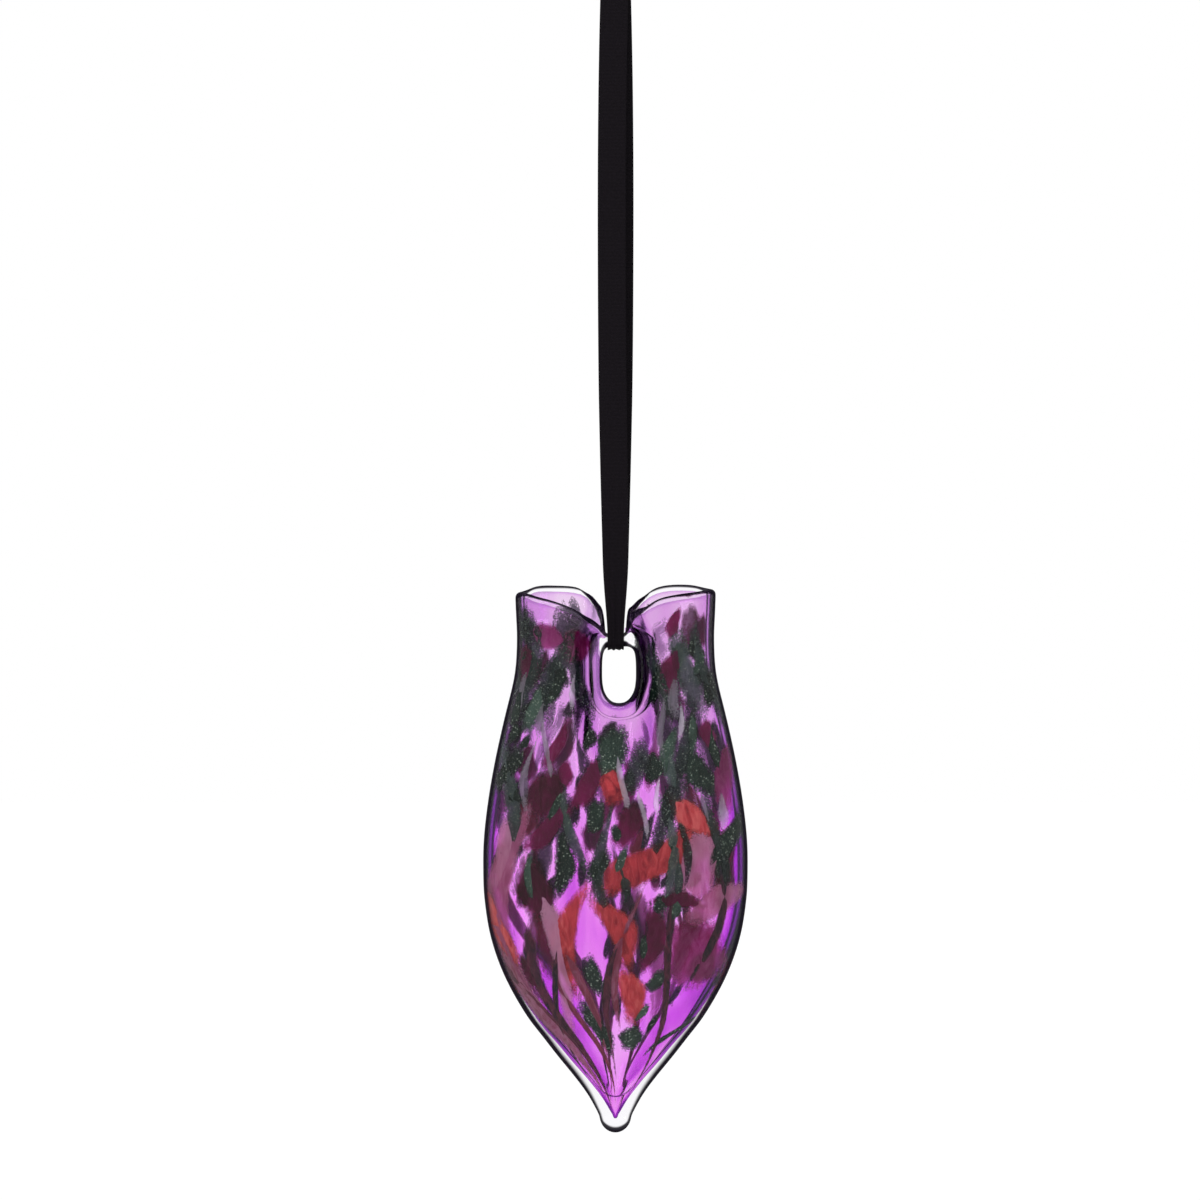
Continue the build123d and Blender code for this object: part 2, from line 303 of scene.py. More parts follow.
    def point(self, x: float, high: float, side: Side, thin: float, foot: float = 0.0) -> Vector:
        """Point of a layer of the glass.

        Args:
            x: offset from the axis, already inside the layer's half width.
            high: height over the point.
            side: front or back.
            thin: glass outside the layer at the belly, 0 for the outer face.
            foot: height of the layer's rounded foot, 0 for none.

        Returns:
            The point in metres, in the row frame.
        """
        over = self.glass_over(high, thin)
        outer = self.width_at(high)
        closing = self.foot_round(high, foot)
        wide = max(self.room_at(high, thin) * closing, self.speck)
        x = min(max(x, -wide), wide)
        rim = abs(x / wide) ** self.edge_power
        face = self.depth_at(x * outer / wide, high, side)
        deep = max(face - over * (1 - rim), self.least_depth * face) * closing
        return Vector((x, side.value * deep, self.tip_z + high)) * MM

    def room_at(self, high: float, thin: float) -> float:
        """Half width of a layer at a height."""
        outer = self.width_at(high)
        return max(outer - self.glass_over(high, thin), self.least_room * outer)

    def rim_at(self, x: float, side: Side) -> float:
        """Height of the rim over the point. Front and back meet level at the two ends.

        Args:
            x: offset from the axis.
            side: front or back.

        Returns:
            The height.
        """
        front, back = (smooth_table(table, x, 1) for table in (self.rim_front, self.rim_back))
        own = front if side is Side.FRONT else back
        rise = lerp(own, (front + back) / 2, ease(abs(x), *self.rim_level_range))
        return self.bar_height + self.lip_radius + rise


@dataclass(frozen=True)
class Skin:
    """One layer of the glass wall and how far it reaches.

    thin is the glass outside it, foot where it starts, lower how far its edge lies under
    the rim. web is how far it keeps off the hole's lip. pierced is true for the outer face,
    which the hole goes through.
    """

    thin: float
    foot: float
    lower: float
    web: float
    pierced: bool


@dataclass
class SheetPlan:
    """Lays out one skin's front and back as grids whose middle block holds the hole."""

    shape: VaseShape
    skin: Skin
    beside: int = 17
    middle: int = 12
    foot_rows: int = 7
    below: int = 47
    hole_rows: int = 16
    above: int = 8
    bar_half_wide: float = 4.7
    bar_web_share: float = 0.6
    spread_length: float = 70.0
    middle_share: float = 0.30
    narrowing: float = 0.7
    mouth_rise: float = 12.0
    row_bias: float = 0.3
    corner_top: float = 3.8
    corner_foot: float = 2.25
    eased_rows: int = 14
    ease_rounds: int = 26
    ease_step: float = 0.35

    @property
    def columns(self) -> int:
        """Cells across the sheet."""
        return 2 * self.beside + self.middle

    @property
    def rows(self) -> int:
        """Cells up the sheet."""
        return self.below + self.hole_rows + self.above

    @property
    def left(self) -> int:
        """Column of the middle block's left edge."""
        return self.beside

    @property
    def right(self) -> int:
        """Column of the middle block's right edge."""
        return self.beside + self.middle

    @property
    def hole_top(self) -> int:
        """Row at the top of the hole."""
        return self.below + self.hole_rows

    def block(self) -> Triple:
        """Half width, half height and bar half width of what is cut from the middle block.

        Returns:
            The three halves.
        """
        s, web = self.shape, self.skin.web
        bar = self.bar_half_wide + self.bar_web_share * web
        return s.lip_half_wide + web, s.lip_half_tall + web, bar

    def half_wide(self, high: float) -> float:
        """Half width of the skin at a height, closing at its foot."""
        s, skin = self.shape, self.skin
        return s.room_at(high, skin.thin) * s.foot_round(high, skin.foot)

    def edges_at(self, high: float, up: float) -> Pair:
        """Offsets of the middle block's two edges.

        Args:
            high: height over the point.
            up: 0 below the hole's top, rising to 1 at the rim.

        Returns:
            The left and the right edge.
        """
        s = self.shape
        wide, tall, bar = self.block()
        low = s.hole_height - tall
        spread = ease(high, low - self.spread_length, low)
        narrow = ease(up, 0.0, self.narrowing)
        far = self.middle_share * self.half_wide(high)
        left = lerp(lerp(-far, s.hole_x - wide, spread), -bar, narrow)
        right = lerp(lerp(far, s.hole_x + wide, spread), bar, narrow)
        return left, right

    def height_of(self, row: int) -> Pair:
        """Height of a row, and how far it lies above the hole's top, 0 to 1 at the rim.

        Args:
            row: row of the grid.

        Returns:
            The height over the point, up to the hole's top, and the share above it.
        """
        s, skin = self.shape, self.skin
        _, tall, _ = self.block()
        low, top = s.hole_height - tall, s.hole_height + tall
        top = min(top, s.bar_height) if skin.pierced else s.bar_height
        dome = s.foot_length if skin.foot else s.outline[0][0] * s.height
        if row <= self.foot_rows:
            return skin.foot + dome * (1 - math.cos(math.pi / 2 * row / self.foot_rows)), 0.0
        if row <= self.below:
            t = (row - self.foot_rows) / (self.below - self.foot_rows)
            return lerp(skin.foot + dome, low, self.row_bias * t * t + (1 - self.row_bias) * t), 0.0
        if row <= self.hole_top:
            return lerp(low, top, (row - self.below) / self.hole_rows), 0.0
        return top, (row - self.hole_top) / self.above

    def spot(self, column: int, row: int, side: Side) -> Pair:
        """Offset and height of a grid point before the hole is rounded.

        Args:
            column: column of the grid.
            row: row of the grid.
            side: front or back.

        Returns:
            The offset and the height.
        """
        s = self.shape
        high, up = self.height_of(row)
        wide = self.half_wide(s.bar_height + self.mouth_rise * up if up else high)
        left, right = self.edges_at(high, up)
        if column <= self.left:
            x = -wide + (left + wide) * (1 - math.cos(math.pi / 2 * column / self.left))
        elif column >= self.right:
            t = (self.columns - column) / self.beside
            x = wide - (wide - right) * (1 - math.cos(math.pi / 2 * t))
        else:
            x = lerp(left, right, (column - self.left) / self.middle)
        if up:
            high += (s.rim_at(x, side) - self.skin.lower - high) * up
        if column in (0, self.columns):
            x = math.copysign(self.half_wide(high), x)
        return x, high

    def rounded(self, x: float, high: float) -> Pair:
        """Moves a point of the cut block's square edge onto its rounded outline.

        Args:
            x: offset from the axis.
            high: height over the point.

        Returns:
            The moved offset and height.
        """
        s = self.shape
        wide, tall, _ = self.block()
        u, v = (x - s.hole_x) / wide, (high - s.hole_height) / tall
        if v > 0 and not self.skin.pierced:
            return x, high
        power = self.corner_top if v > 0 else self.corner_foot
        pull = (abs(u) ** power + abs(v) ** power) ** (-1 / power)
        return s.hole_x + u * wide * pull, s.hole_height + v * tall * pull

    def cut_edge(self) -> list[tuple[int, int]]:
        """Grid points round what is cut from the middle block, in order.

        Returns:
            Column and row of each.
        """
        top = self.hole_top if self.skin.pierced else self.rows
        down = [(self.left, r) for r in range(top, self.below, -1)]
        across = [(c, self.below) for c in range(self.left, self.right)]
        up = [(self.right, r) for r in range(self.below, top + 1)]
        if not self.skin.pierced:
            return down + across + up
        return down + across + up[:-1] + [(c, top) for c in range(self.right, self.left, -1)]

    def layout(self, side: Side) -> Plan:
        """Offsets and heights of the whole grid, eased round the hole.

        Args:
            side: front or back.

        Returns:
            Rows of (offset, height) pairs.
        """
        plan = [
            [self.spot(c, r, side) for c in range(self.columns + 1)] for r in range(self.rows + 1)
        ]
        held = set(self.cut_edge())
        for c, r in held:
            plan[r][c] = self.rounded(*plan[r][c])
        for _ in range(self.ease_rounds):
            for r in range(self.below - self.eased_rows, self.rows):
                for c in range(1, self.columns):
                    if (c, r) in held:
                        continue
                    near = (plan[r - 1][c], plan[r + 1][c], plan[r][c - 1], plan[r][c + 1])
                    x = sum(p[0] for p in near) / 4
                    high = sum(p[1] for p in near) / 4
                    old = plan[r][c]
                    step = self.ease_step
                    plan[r][c] = (lerp(old[0], x, step), lerp(old[1], high, step))
        return plan


class GlassMesh:
    """Builds the skins of the glass wall and joins them to closed meshes."""

    weld: float = 0.0005
    hole_core: float = 7.0
    bar_crown: float = 1.9
    web_share: float = 0.35
    web_reach: float = 2.6
    rim_crown: float = 0.55
    hole_steps: int = 12
    bar_steps: int = 8
    # Painted shade on the edges of the hole's lip and of the bar; the web's edges get less of it.
    ring_painted_shade: float = 0.6
    web_painted_shade: float = -1.0

    def __init__(self, shape: VaseShape) -> None:
        """Starts an empty mesh.

        Args:
            shape: form of the vase.
        """
        self.shape = shape
        self.bm = bmesh.new()
        # Mask of painted shade: the clear glass turns dark along the edges that it marks.
        self.lip = self.bm.verts.layers.float.new("lip")

    def sheet(self, plan: SheetPlan, side: Side) -> Grid:
        """One side of a skin as a grid with its middle cut out.

        Args:
            plan: the skin's layout.
            side: front or back.

        Returns:
            The grid's vertices, row by row from the foot.
        """
        made = bmesh.ops.create_grid(
            self.bm, x_segments=plan.columns, y_segments=plan.rows, size=1.0
        )
        verts = made["verts"]
        wide = plan.columns + 1
        grid = [verts[r * wide : (r + 1) * wide] for r in range(plan.rows + 1)]
        for row, spots in zip(grid, plan.layout(side)):
            for vert, (x, high) in zip(row, spots):
                vert.co = self.shape.point(x, high, side, plan.skin.thin, plan.skin.foot)
        top = plan.hole_top if plan.skin.pierced else plan.rows
        inside = []
        for r in range(plan.below, top):
            for c in range(plan.left, plan.right):
                corners = {grid[r][c], grid[r][c + 1], grid[r + 1][c], grid[r + 1][c + 1]}
                inside += [f for f in grid[r][c].link_faces if set(f.verts) == corners]
        bmesh.ops.delete(self.bm, geom=inside, context="FACES")
        return grid

    def strip(
        self,
        source: Sequence[bmesh.types.BMVert],
        target: Sequence[bmesh.types.BMVert],
        steps: int,
        bulge: Callable[[Vector, Vector, float], Vector],
        closed: bool = False,
        lip: float = 0.0,
    ) -> list[list[bmesh.types.BMVert]]:
        """Draws glass from one edge to another in a rounded band.

        Args:
            source: vertices of the edge it starts from, in order.
            target: vertices of the edge it ends on, in the same order.
            steps: bands between them.
            bulge: gives a point from the two ends and how far across it is, 0 to 1.
            closed: true for a ring.
            lip: how much painted shade the band's edges get; below 0 it gives them less.

        Returns:
            The vertices of the lines between the two edges.
        """
        ends = [(a.co.copy(), b.co.copy()) for a, b in zip(source, target)]
        line = list(source)
        lines = []
        for k in range(1, steps + 1):
            pairs = list(zip(line, line[1:] + line[:1])) if closed else list(zip(line, line[1:]))
            edges = [self.bm.edges.get(pair) for pair in pairs]
            made = bmesh.ops.extrude_edge_only(self.bm, edges=edges)["geom"]
            fresh = {g for g in made if isinstance(g, bmesh.types.BMVert)}
            following = [
                next(e.other_vert(vert) for e in vert.link_edges if e.other_vert(vert) in fresh)
                for vert in line
            ]
            for vert, (a, b) in zip(following, ends):
                vert.co = bulge(a, b, k / steps)
                vert[self.lip] = lip
            line = following
            if k < steps:
                lines.append(line)
        bmesh.ops.weld_verts(self.bm, targetmap=dict(zip(line, target)))
        return lines

    def through_hole(self, a: Vector, b: Vector, t: float) -> Vector:
        """Rounded lip of the hole: leans in towards the hole's middle.

        Args:
            a: its front end.
            b: its back end.
            t: how far across, 0 to 1.

        Returns:
            The point of the lip.
        """
        s = self.shape
        p = a.lerp(b, swing(t))
        x, high = p.x / MM, p.z / MM - s.tip_z
        core = min(max(high, s.hole_height - self.hole_core), s.hole_height + self.hole_core)
        inward = Vector((s.hole_x - x, 0, core - high)).normalized()
        return p + inward * (s.lip_radius * math.sin(math.pi * t)) * MM

    def over_bar(self, a: Vector, b: Vector, t: float) -> Vector:
        """Rounded top of the bar between the two mouths."""
        return a.lerp(b, swing(t)) + Vector((0, 0, self.bar_crown * math.sin(math.pi * t))) * MM

    def into_web(self, a: Vector, b: Vector, t: float) -> Vector:
        """Rounded end of the pocket where front and back are fused.

        Args:
            a: its front end.
            b: its back end.
            t: how far across, 0 to 1.

        Returns:
            The point of the end.
        """
        s = self.shape
        p = a.lerp(b, swing(t))
        x, high = p.x / MM, p.z / MM - s.tip_z
        inward = Vector((s.hole_x - x, 0, max(s.hole_height - high, 0.0))).normalized()
        reach = min(self.web_share * (b - a).length, self.web_reach * MM)
        return p + inward * reach * math.sin(math.pi * t)

    def over_rim(self, a: Vector, b: Vector, t: float) -> Vector:
        """Fire-polished lip of a mouth."""
        crown = self.rim_crown * (b - a).length * math.sin(math.pi * t)
        return a.lerp(b, swing(t)) + Vector((0, 0, crown))

    def skin(self, plan: SheetPlan) -> tuple[Grid, Grid, list, list]:
        """Both sides of a skin, joined round the hole or round the fused middle.

        Args:
            plan: the skin's layout.

        Returns:
            Front grid, back grid, and the lines that cross at the left and right end of the
            bar or web.
        """
        front, back = self.sheet(plan, Side.FRONT), self.sheet(plan, Side.BACK)
        edge = plan.cut_edge()
        ring_front = [front[r][c] for c, r in edge]
        ring_back = [back[r][c] for c, r in edge]
        # The bands carry painted shade on their edges.
        if plan.skin.pierced:
            steps, dark = self.hole_steps, self.ring_painted_shade
            self.strip(ring_front, ring_back, steps, self.through_hole, closed=True, lip=dark)
            bar_front = front[-1][plan.left : plan.right + 1]
            bar_back = back[-1][plan.left : plan.right + 1]
            lines = self.strip(bar_front, bar_back, self.bar_steps, self.over_bar, lip=dark)
        else:
            steps, dark = self.bar_steps, self.web_painted_shade
            lines = self.strip(ring_front, ring_back, steps, self.into_web, lip=dark)
        return front, back, [line[0] for line in lines], [line[-1] for line in lines]

    @staticmethod
    def mouths(plan: SheetPlan, made: tuple[Grid, Grid, list, list]) -> tuple[list, list]:
        """Edges of the left and right mouth, from front to back.

        Args:
            plan: the skin's layout.
            made: what skin returned.

        Returns:
            Vertices of the left and of the right edge, in order.
        """
        front, back, left, right = made
        left_edge = front[-1][: plan.left + 1] + left + back[-1][plan.left :: -1]
        right_edge = front[-1][: plan.right - 1 : -1] + right + back[-1][plan.right :]
        return left_edge, right_edge

    def finish(self, name: str) -> bpy.types.Object:
        """Welds the seams, turns the faces outwards and makes the object.

        Args:
            name: name of the piece.

        Returns:
            The object, linked to the scene.
        """
        bmesh.ops.remove_doubles(self.bm, verts=self.bm.verts, dist=self.weld * MM)
        bmesh.ops.recalc_face_normals(self.bm, faces=self.bm.faces)
        return to_object(self.bm, name)


def to_object(bm: bmesh.types.BMesh, name: str) -> bpy.types.Object:
    """Makes a smooth-shaded object of a bmesh and frees it.

    Args:
        bm: the mesh.
        name: name of the piece.

    Returns:
        The object, linked to the scene.
    """
    for face in bm.faces:
        face.smooth = True
    mesh = bpy.data.meshes.new(name)
    bm.to_mesh(mesh)
    bm.free()
    obj = bpy.data.objects.new(name, mesh)
    bpy.context.collection.objects.link(obj)
    return obj


def thicken(obj: bpy.types.Object, thick: float) -> None:
    """Gives a sheet its thickness in millimetres, half to either side."""
    mod = obj.modifiers.new("thick", "SOLIDIFY")
    mod.thickness, mod.offset = thick * MM, 0.0


def subdivide(obj: bpy.types.Object, levels: int) -> None:
    """Adds a subdivision surface with the same levels in view and render."""
    mod = obj.modifiers.new("smooth", "SUBSURF")
    mod.levels = mod.render_levels = levels


class Value:
    """A shader socket that takes part in Python sums."""

    def __init__(self, tree: "Nodes", socket: bpy.types.NodeSocket) -> None:
        """Wraps an output socket of a tree."""
        self.tree = tree
        self.socket = socket

    def _math(self, operation: str, a: object, b: object) -> "Value":
        """Adds a Math node."""
        return self.tree.add("ShaderNodeMath", {"operation": operation}, {0: a, 1: b})

    def __add__(self, other: object) -> "Value":
        """Sum."""
        return self._math("ADD", self, other)

    __radd__ = __add__

    def __sub__(self, other: object) -> "Value":
        """Difference."""
        return self._math("SUBTRACT", self, other)

    def __rsub__(self, other: object) -> "Value":
        """Difference the other way round."""
        return self._math("SUBTRACT", other, self)

    def __mul__(self, other: object) -> "Value":
        """Product."""
        return self._math("MULTIPLY", self, other)

    __rmul__ = __mul__

    def clip(self) -> "Value":
        """Keeps the value between 0 and 1."""
        return self.tree.add("ShaderNodeClamp", {}, {"Value": self})

    def wave(self) -> "Value":
        """Sine of the value."""
        return self.tree.add("ShaderNodeMath", {"operation": "SINE"}, {0: self})

    def rise(self, low: float, high: float) -> "Value":
        """Smooth step of the value.

        Args:
            low: where it is 0.
            high: where it is 1.

        Returns:
            The step.
        """
        settings = {"interpolation_type": "SMOOTHSTEP"}
        inputs = {"Value": self, "From Min": low, "From Max": high}
        return self.tree.add("ShaderNodeMapRange", settings, inputs)


class Nodes:
    """One material's or the world's node tree."""

    def __init__(self, tree: bpy.types.NodeTree) -> None:
        """Empties the tree."""
        self.tree = tree
        tree.nodes.clear()

    def add(self, kind: str, settings: dict, inputs: dict, output: object = 0) -> Optional[Value]:
        """Adds a node.

        Args:
            kind: the node's type.
            settings: its properties, set first; stops gives a colour ramp's stops.
            inputs: values or links of its sockets, by name or number.
            output: the output to hand back, by name or number.

        Returns:
            That output, or nothing for a node that has none.
        """
        node = self.tree.nodes.new(kind)
        for name, value in settings.items():
            if name == "stops":
                ramp = node.color_ramp
                while len(ramp.elements) < len(value):
                    ramp.elements.new(1.0)
                for element, (at, colour) in zip(ramp.elements, value):
                    element.position, element.color = at, (*colour, 1.0)
            else:
                setattr(node, name, value)
        for name, value in inputs.items():
            socket = node.inputs[name]
            if isinstance(value, Value):
                self.tree.links.new(value.socket, socket)
            elif isinstance(value, tuple) and len(value) == 3 and socket.type == "RGBA":
                socket.default_value = (*value, 1.0)
            else:
                socket.default_value = value
        return Value(self, node.outputs[output]) if node.outputs else None

    def place(self, stretch: Triple) -> Value:
        """Object coordinates stretched along the three axes."""
        coords = self.add("ShaderNodeTexCoord", {}, {}, "Object")
        return self.add("ShaderNodeMapping", {}, {"Vector": coords, "Scale": stretch})

    def own(self, name: str) -> Value:
        """A number that the piece's own vertices carry."""
        return self.add("ShaderNodeAttribute", {"attribute_name": name}, {}, "Fac")

    def noise(self, at: Value, scale: float, detail: float = 3.0, bend: float = 0.0) -> Value:
        """Cloudy noise from 0 to 1."""
        inputs = {"Vector": at, "Scale": scale, "Detail": detail, "Distortion": bend}
        return self.add("ShaderNodeTexNoise", {}, inputs)

    def mix(self, share: object, a: object, b: object) -> Value:
        """Mix of two colours."""
        return self.add("ShaderNodeMix", {"data_type": "RGBA"}, {0: share, 6: a, 7: b}, 2)

    def ramp(self, value: Value, *stops: tuple[float, Triple]) -> Value:
        """Colours along a value."""
        return self.add("ShaderNodeValToRGB", {"stops": stops}, {"Fac": value}, "Color")

    def bump(self, height: Value, strength: float, distance: float) -> Value:
        """Normal roughened by a height."""
        inputs = {"Strength": strength, "Distance": distance, "Height": height}
        return self.add("ShaderNodeBump", {}, inputs)

    def principled(self, **inputs: object) -> Value:
        """A Principled shader, its sockets named with underscores."""
        named = {name.replace("_", " "): value for name, value in inputs.items()}
        return self.add("ShaderNodeBsdfPrincipled", {}, named)

    def lit_through(self, shader: Value, shade: Triple) -> Value:
        """Lets lamps shine through glass, in the glass's colour.

        Args:
            shader: the glass.
            shade: colour of the light behind it.

        Returns:
            The glass with its tinted shadow.
        """
        lamp = self.add("ShaderNodeLightPath", {}, {}, "Is Shadow Ray")
        clear = self.add("ShaderNodeBsdfTransparent", {}, {"Color": shade})
        return self.add("ShaderNodeMixShader", {}, {0: lamp, 1: shader, 2: clear})

    def seen(self) -> Value:
        """Tells the rays that come from the eye, also by way of glass or a gloss.

        Returns:
            1 for such a ray, 0 for others.
        """
        rays = ("Is Camera Ray", "Is Glossy Ray", "Is Transmission Ray")
        eye, gloss, clear = (self.add("ShaderNodeLightPath", {}, {}, ray) for ray in rays)
        return (eye + gloss + clear).clip()

    def show(self, surface: Value, kind: str = "ShaderNodeOutputMaterial") -> None:
        """Connects the surface to an output."""
        self.add(kind, {}, {"Surface": surface})


@dataclass(frozen=True)
class Finish:
    """A named material. Each kind fills its nodes in its own way."""

    name: str

    def material(self) -> bpy.types.Material:
        """Makes the material.

        Returns:
            The material with its nodes.
        """
        made = bpy.data.materials.new(self.name)
        made.use_nodes = True
        self.fill(Nodes(made.node_tree))
        return made

    def fill(self, nodes: Nodes) -> None:
        """Fills the node tree with this finish's nodes."""
        raise NotImplementedError


@dataclass(frozen=True)
class ClearGlass(Finish):
    """Clear hand-blown glass with a faint wave in its face, and painted shade that darkens its edges and
    lips.
    """

    colour: Triple = (0.97, 0.96, 0.985)
    # Painted shade: where the glass faces away, or where the mask marks it, it is mixed towards a dark matte
    # shader.
    painted_shade_range: Pair = (0.42, 0.62)
    painted_shade_depth: float = 0.96
    painted_shade_colour: Triple = (0.008, 0.005, 0.012)
    painted_edge_shade_share: float = 0.24
    bending: float = 1.3
    wave_size: float = 34.0
    wave_stretch: Triple = (1.0, 1.0, 0.45)
    shadow: Triple = (0.93, 0.92, 0.94)

    def fill(self, nodes: Nodes) -> None:
        """Fills the node tree.

        Args:
            nodes: the material's empty tree.
        """
        wave = nodes.noise(nodes.place(self.wave_stretch), self.wave_size, detail=1.0)
        normal = nodes.bump(wave, strength=0.10, distance=0.002)
        glass = nodes.principled(
            Base_Color=self.colour,
            Roughness=0.0,
            IOR=self.bending,
            Transmission_Weight=1.0,
            Normal=normal,
        )
        # Painted shade: grazing faces and masked edges turn dark.
        edge = nodes.add("ShaderNodeLayerWeight", {}, {"Blend": 0.5}, "Facing")
        dark = nodes.principled(
            Base_Color=self.painted_shade_colour, Roughness=1.0, Specular_IOR_Level=0.0
        )
        lip = nodes.own("lip") * self.painted_edge_shade_share
        shade = (edge + lip).rise(*self.painted_shade_range) * self.painted_shade_depth
        rim = nodes.add("ShaderNodeMixShader", {}, {0: shade, 1: glass, 2: dark})
        nodes.show(nodes.lit_through(rim, self.shadow))


@dataclass(frozen=True)
class VioletGlass(Finish):
    """Violet glass, streaked, pink where it is thin, smoky at the necks, embedded in clear glass."""

    neck: Pair = (0.0, 0.1)
    smoke: Triple = (0.79, 0.66, 0.81)
    smoke_share: float = 0.55
    streak_stretch: Triple = (60.0, 60.0, 6.0)
    cloud_stretch: Triple = (13.0, 13.0, 9.0)
    streak_share: float = 0.55
    cloud_range: Pair = (0.36, 0.68)
    cloud_depth: float = 0.58
    slant_range: Pair = (0.02, 0.42)
    slant_depth: float = 0.90
    shadow: Triple = (0.85, 0.5, 0.9)

    def fill(self, nodes: Nodes) -> None:
        """Fills the node tree.

        Args:
            nodes: the material's empty tree.
        """
        streaks = nodes.noise(nodes.place(self.streak_stretch), 1.0, detail=4.0, bend=0.5)
        clouds = nodes.noise(nodes.place(self.cloud_stretch), 1.0, detail=2.0)
        slant = nodes.add("ShaderNodeLayerWeight", {}, {"Blend": 0.5}, "Facing")
        cloudy = streaks * self.streak_share + clouds * (1 - self.streak_share)
        depth = cloudy.rise(*self.cloud_range) * self.cloud_depth
        depth = depth + slant.rise(*self.slant_range) * self.slant_depth
        colour = nodes.ramp(
            depth.clip(),
            (0.0, (0.965, 0.70, 0.975)),
            (0.26, (0.91, 0.46, 0.935)),
            (0.60, (0.68, 0.16, 0.83)),
            (1.0, (0.36, 0.035, 0.50)),
        )
        high = nodes.add("ShaderNodeSeparateXYZ", {}, {0: nodes.place(EVEN)}, "Z")
        colour = nodes.mix(high.rise(*self.neck) * self.smoke_share, colour, self.smoke)
        glass = nodes.principled(
            Base_Color=colour, Roughness=0.0, IOR=1.0, Transmission_Weight=1.0
        )
        nodes.show(nodes.lit_through(glass, self.shadow))


@dataclass(frozen=True)
class FritGlass(Finish):
    """Coloured chips: veined, paler or darker from chip to chip, thin at their edges; some carry painted
    glints.
    """

    dark: Triple
    body: Triple
    pale: Triple
    clear: float
    # sparkle and the pale speck colour paint glints into the chips' colour.
    sparkle: float = 0.0
    painted_glint_colour: Triple = (0.34, 0.42, 0.33)
    ragged: float = 0.5
    cover: float = 1.0
    veining: float = 0.6
    grain: float = 0.0
    vein_stretch: Triple = (1.0, 1.0, 0.30)
    vein_size: float = 260.0
    grain_size: float = 1900.0
    glint_size: float = 2100.0
    glint_range: Pair = (0.93, 0.99)
    tone_share: float = 0.70
    tone_base: float = 0.14
    vein_rag: float = 0.5
    fade_range: Pair = (0.62, 1.02)

    def fill(self, nodes: Nodes) -> None:
        """Fills the node tree.

        Args:
            nodes: the material's empty tree.
        """
        veins = nodes.noise(nodes.place(self.vein_stretch), self.vein_size, detail=5.0, bend=1.6)
        grains = nodes.noise(nodes.place(EVEN), self.grain_size, detail=2.0)
        shade = veins * self.veining + (grains - 0.5) * self.grain
        tone = nodes.own("tone") * self.tone_share
        level = (shade + tone + (self.tone_base - self.veining / 2)).clip()
        colour = nodes.ramp(level, (0.10, self.dark), (0.5, self.body), (0.92, self.pale))
        # Painted glints: pale specks mixed into the base colour.
        if self.sparkle:
            cells = {"Vector": nodes.place(EVEN), "Scale": self.glint_size}
            glint_cells = nodes.add("ShaderNodeTexVoronoi", {}, cells, "Color")
            lit = nodes.add("ShaderNodeSeparateColor", {}, {"Color": glint_cells}, 0)
            glint = lit.rise(*self.glint_range) * self.sparkle
            colour = nodes.mix(glint, colour, self.painted_glint_colour)
        edge = nodes.own("edge")
        ragged = edge + (grains - 0.5) * self.ragged + (veins - 0.5) * self.vein_rag
        fade = (1 - ragged.rise(*self.fade_range)) * self.cover
        chip = nodes.principled(
            Base_Color=colour,
            Roughness=0.3,
            IOR=1.05,
            Specular_IOR_Level=0.0,
            Transmission_Weight=self.clear,
            Alpha=fade,
        )
        nodes.show(chip)


@dataclass(frozen=True)
class Bubble(Finish):
    """A seed of air in the glass: clear, with painted shade as a dark ring at its edge."""

    middle: Triple = (1.0, 0.97, 1.0)
    painted_ring_shade: Triple = (0.02, 0.01, 0.03)
    painted_ring_range: Pair = (0.62, 0.92)

    def fill(self, nodes: Nodes) -> None:
        """Fills the node tree.

        Args:
            nodes: the material's empty tree.
        """
        # Painted shade: darker towards the bubble's edge.
        edge = nodes.own("edge").rise(*self.painted_ring_range)
        colour = nodes.ramp(edge, (0.0, self.middle), (1.0, self.painted_ring_shade))
        air = nodes.principled(Base_Color=colour, Roughness=0.0, IOR=1.0, Transmission_Weight=1.0)
        nodes.show(nodes.lit_through(air, WHITE))


@dataclass(frozen=True)
class RibbonCloth(Finish):
    """Black ribbed ribbon: fine cross ribs, fine lengthwise threads, a dull sheen."""

    colour: Triple = (0.0050, 0.0038, 0.0052)
    # Painted shade in hollows and painted highlight on crests, as shares of the colour.
    painted_hollow_shade: float = 0.45
    painted_crest_highlight: float = 2.6
    rib_pitch: float = 0.00062
    thread_pitch: float = 0.00030
    fuzz_size: float = 900.0

    def fill(self, nodes: Nodes) -> None:
        """Fills the node tree.

        Args:
            nodes: the material's empty tree.
        """
        along = nodes.own("along")
        across = nodes.own("across")
        rib = (along * (2 * math.pi / self.rib_pitch)).wave()
        weave = (across * (2 * math.pi / self.thread_pitch)).wave()
        fuzz = nodes.noise(nodes.place(EVEN), self.fuzz_size, detail=3.0)
        height = rib * 0.5 + weave * 0.16 + fuzz * 0.6
        # Painted shade and highlight: the tone rises and falls with the ribs and fuzz that the bump raises.
        tone = (rib * 0.22 + fuzz * 0.55 + 0.25).clip()
        colour = nodes.ramp(
            tone,
            (0.0, tuple(self.painted_hollow_shade * c for c in self.colour)),
            (0.55, self.colour),
            (1.0, tuple(self.painted_crest_highlight * c for c in self.colour)),
        )
        cloth = nodes.principled(
            Base_Color=colour,
            Roughness=fuzz * 0.25 + 0.55,
            Specular_IOR_Level=0.06,
            Sheen_Weight=0.012,
            Sheen_Roughness=0.4,
            Normal=nodes.bump(height, strength=0.55, distance=0.00018),
        )
        nodes.show(cloth)


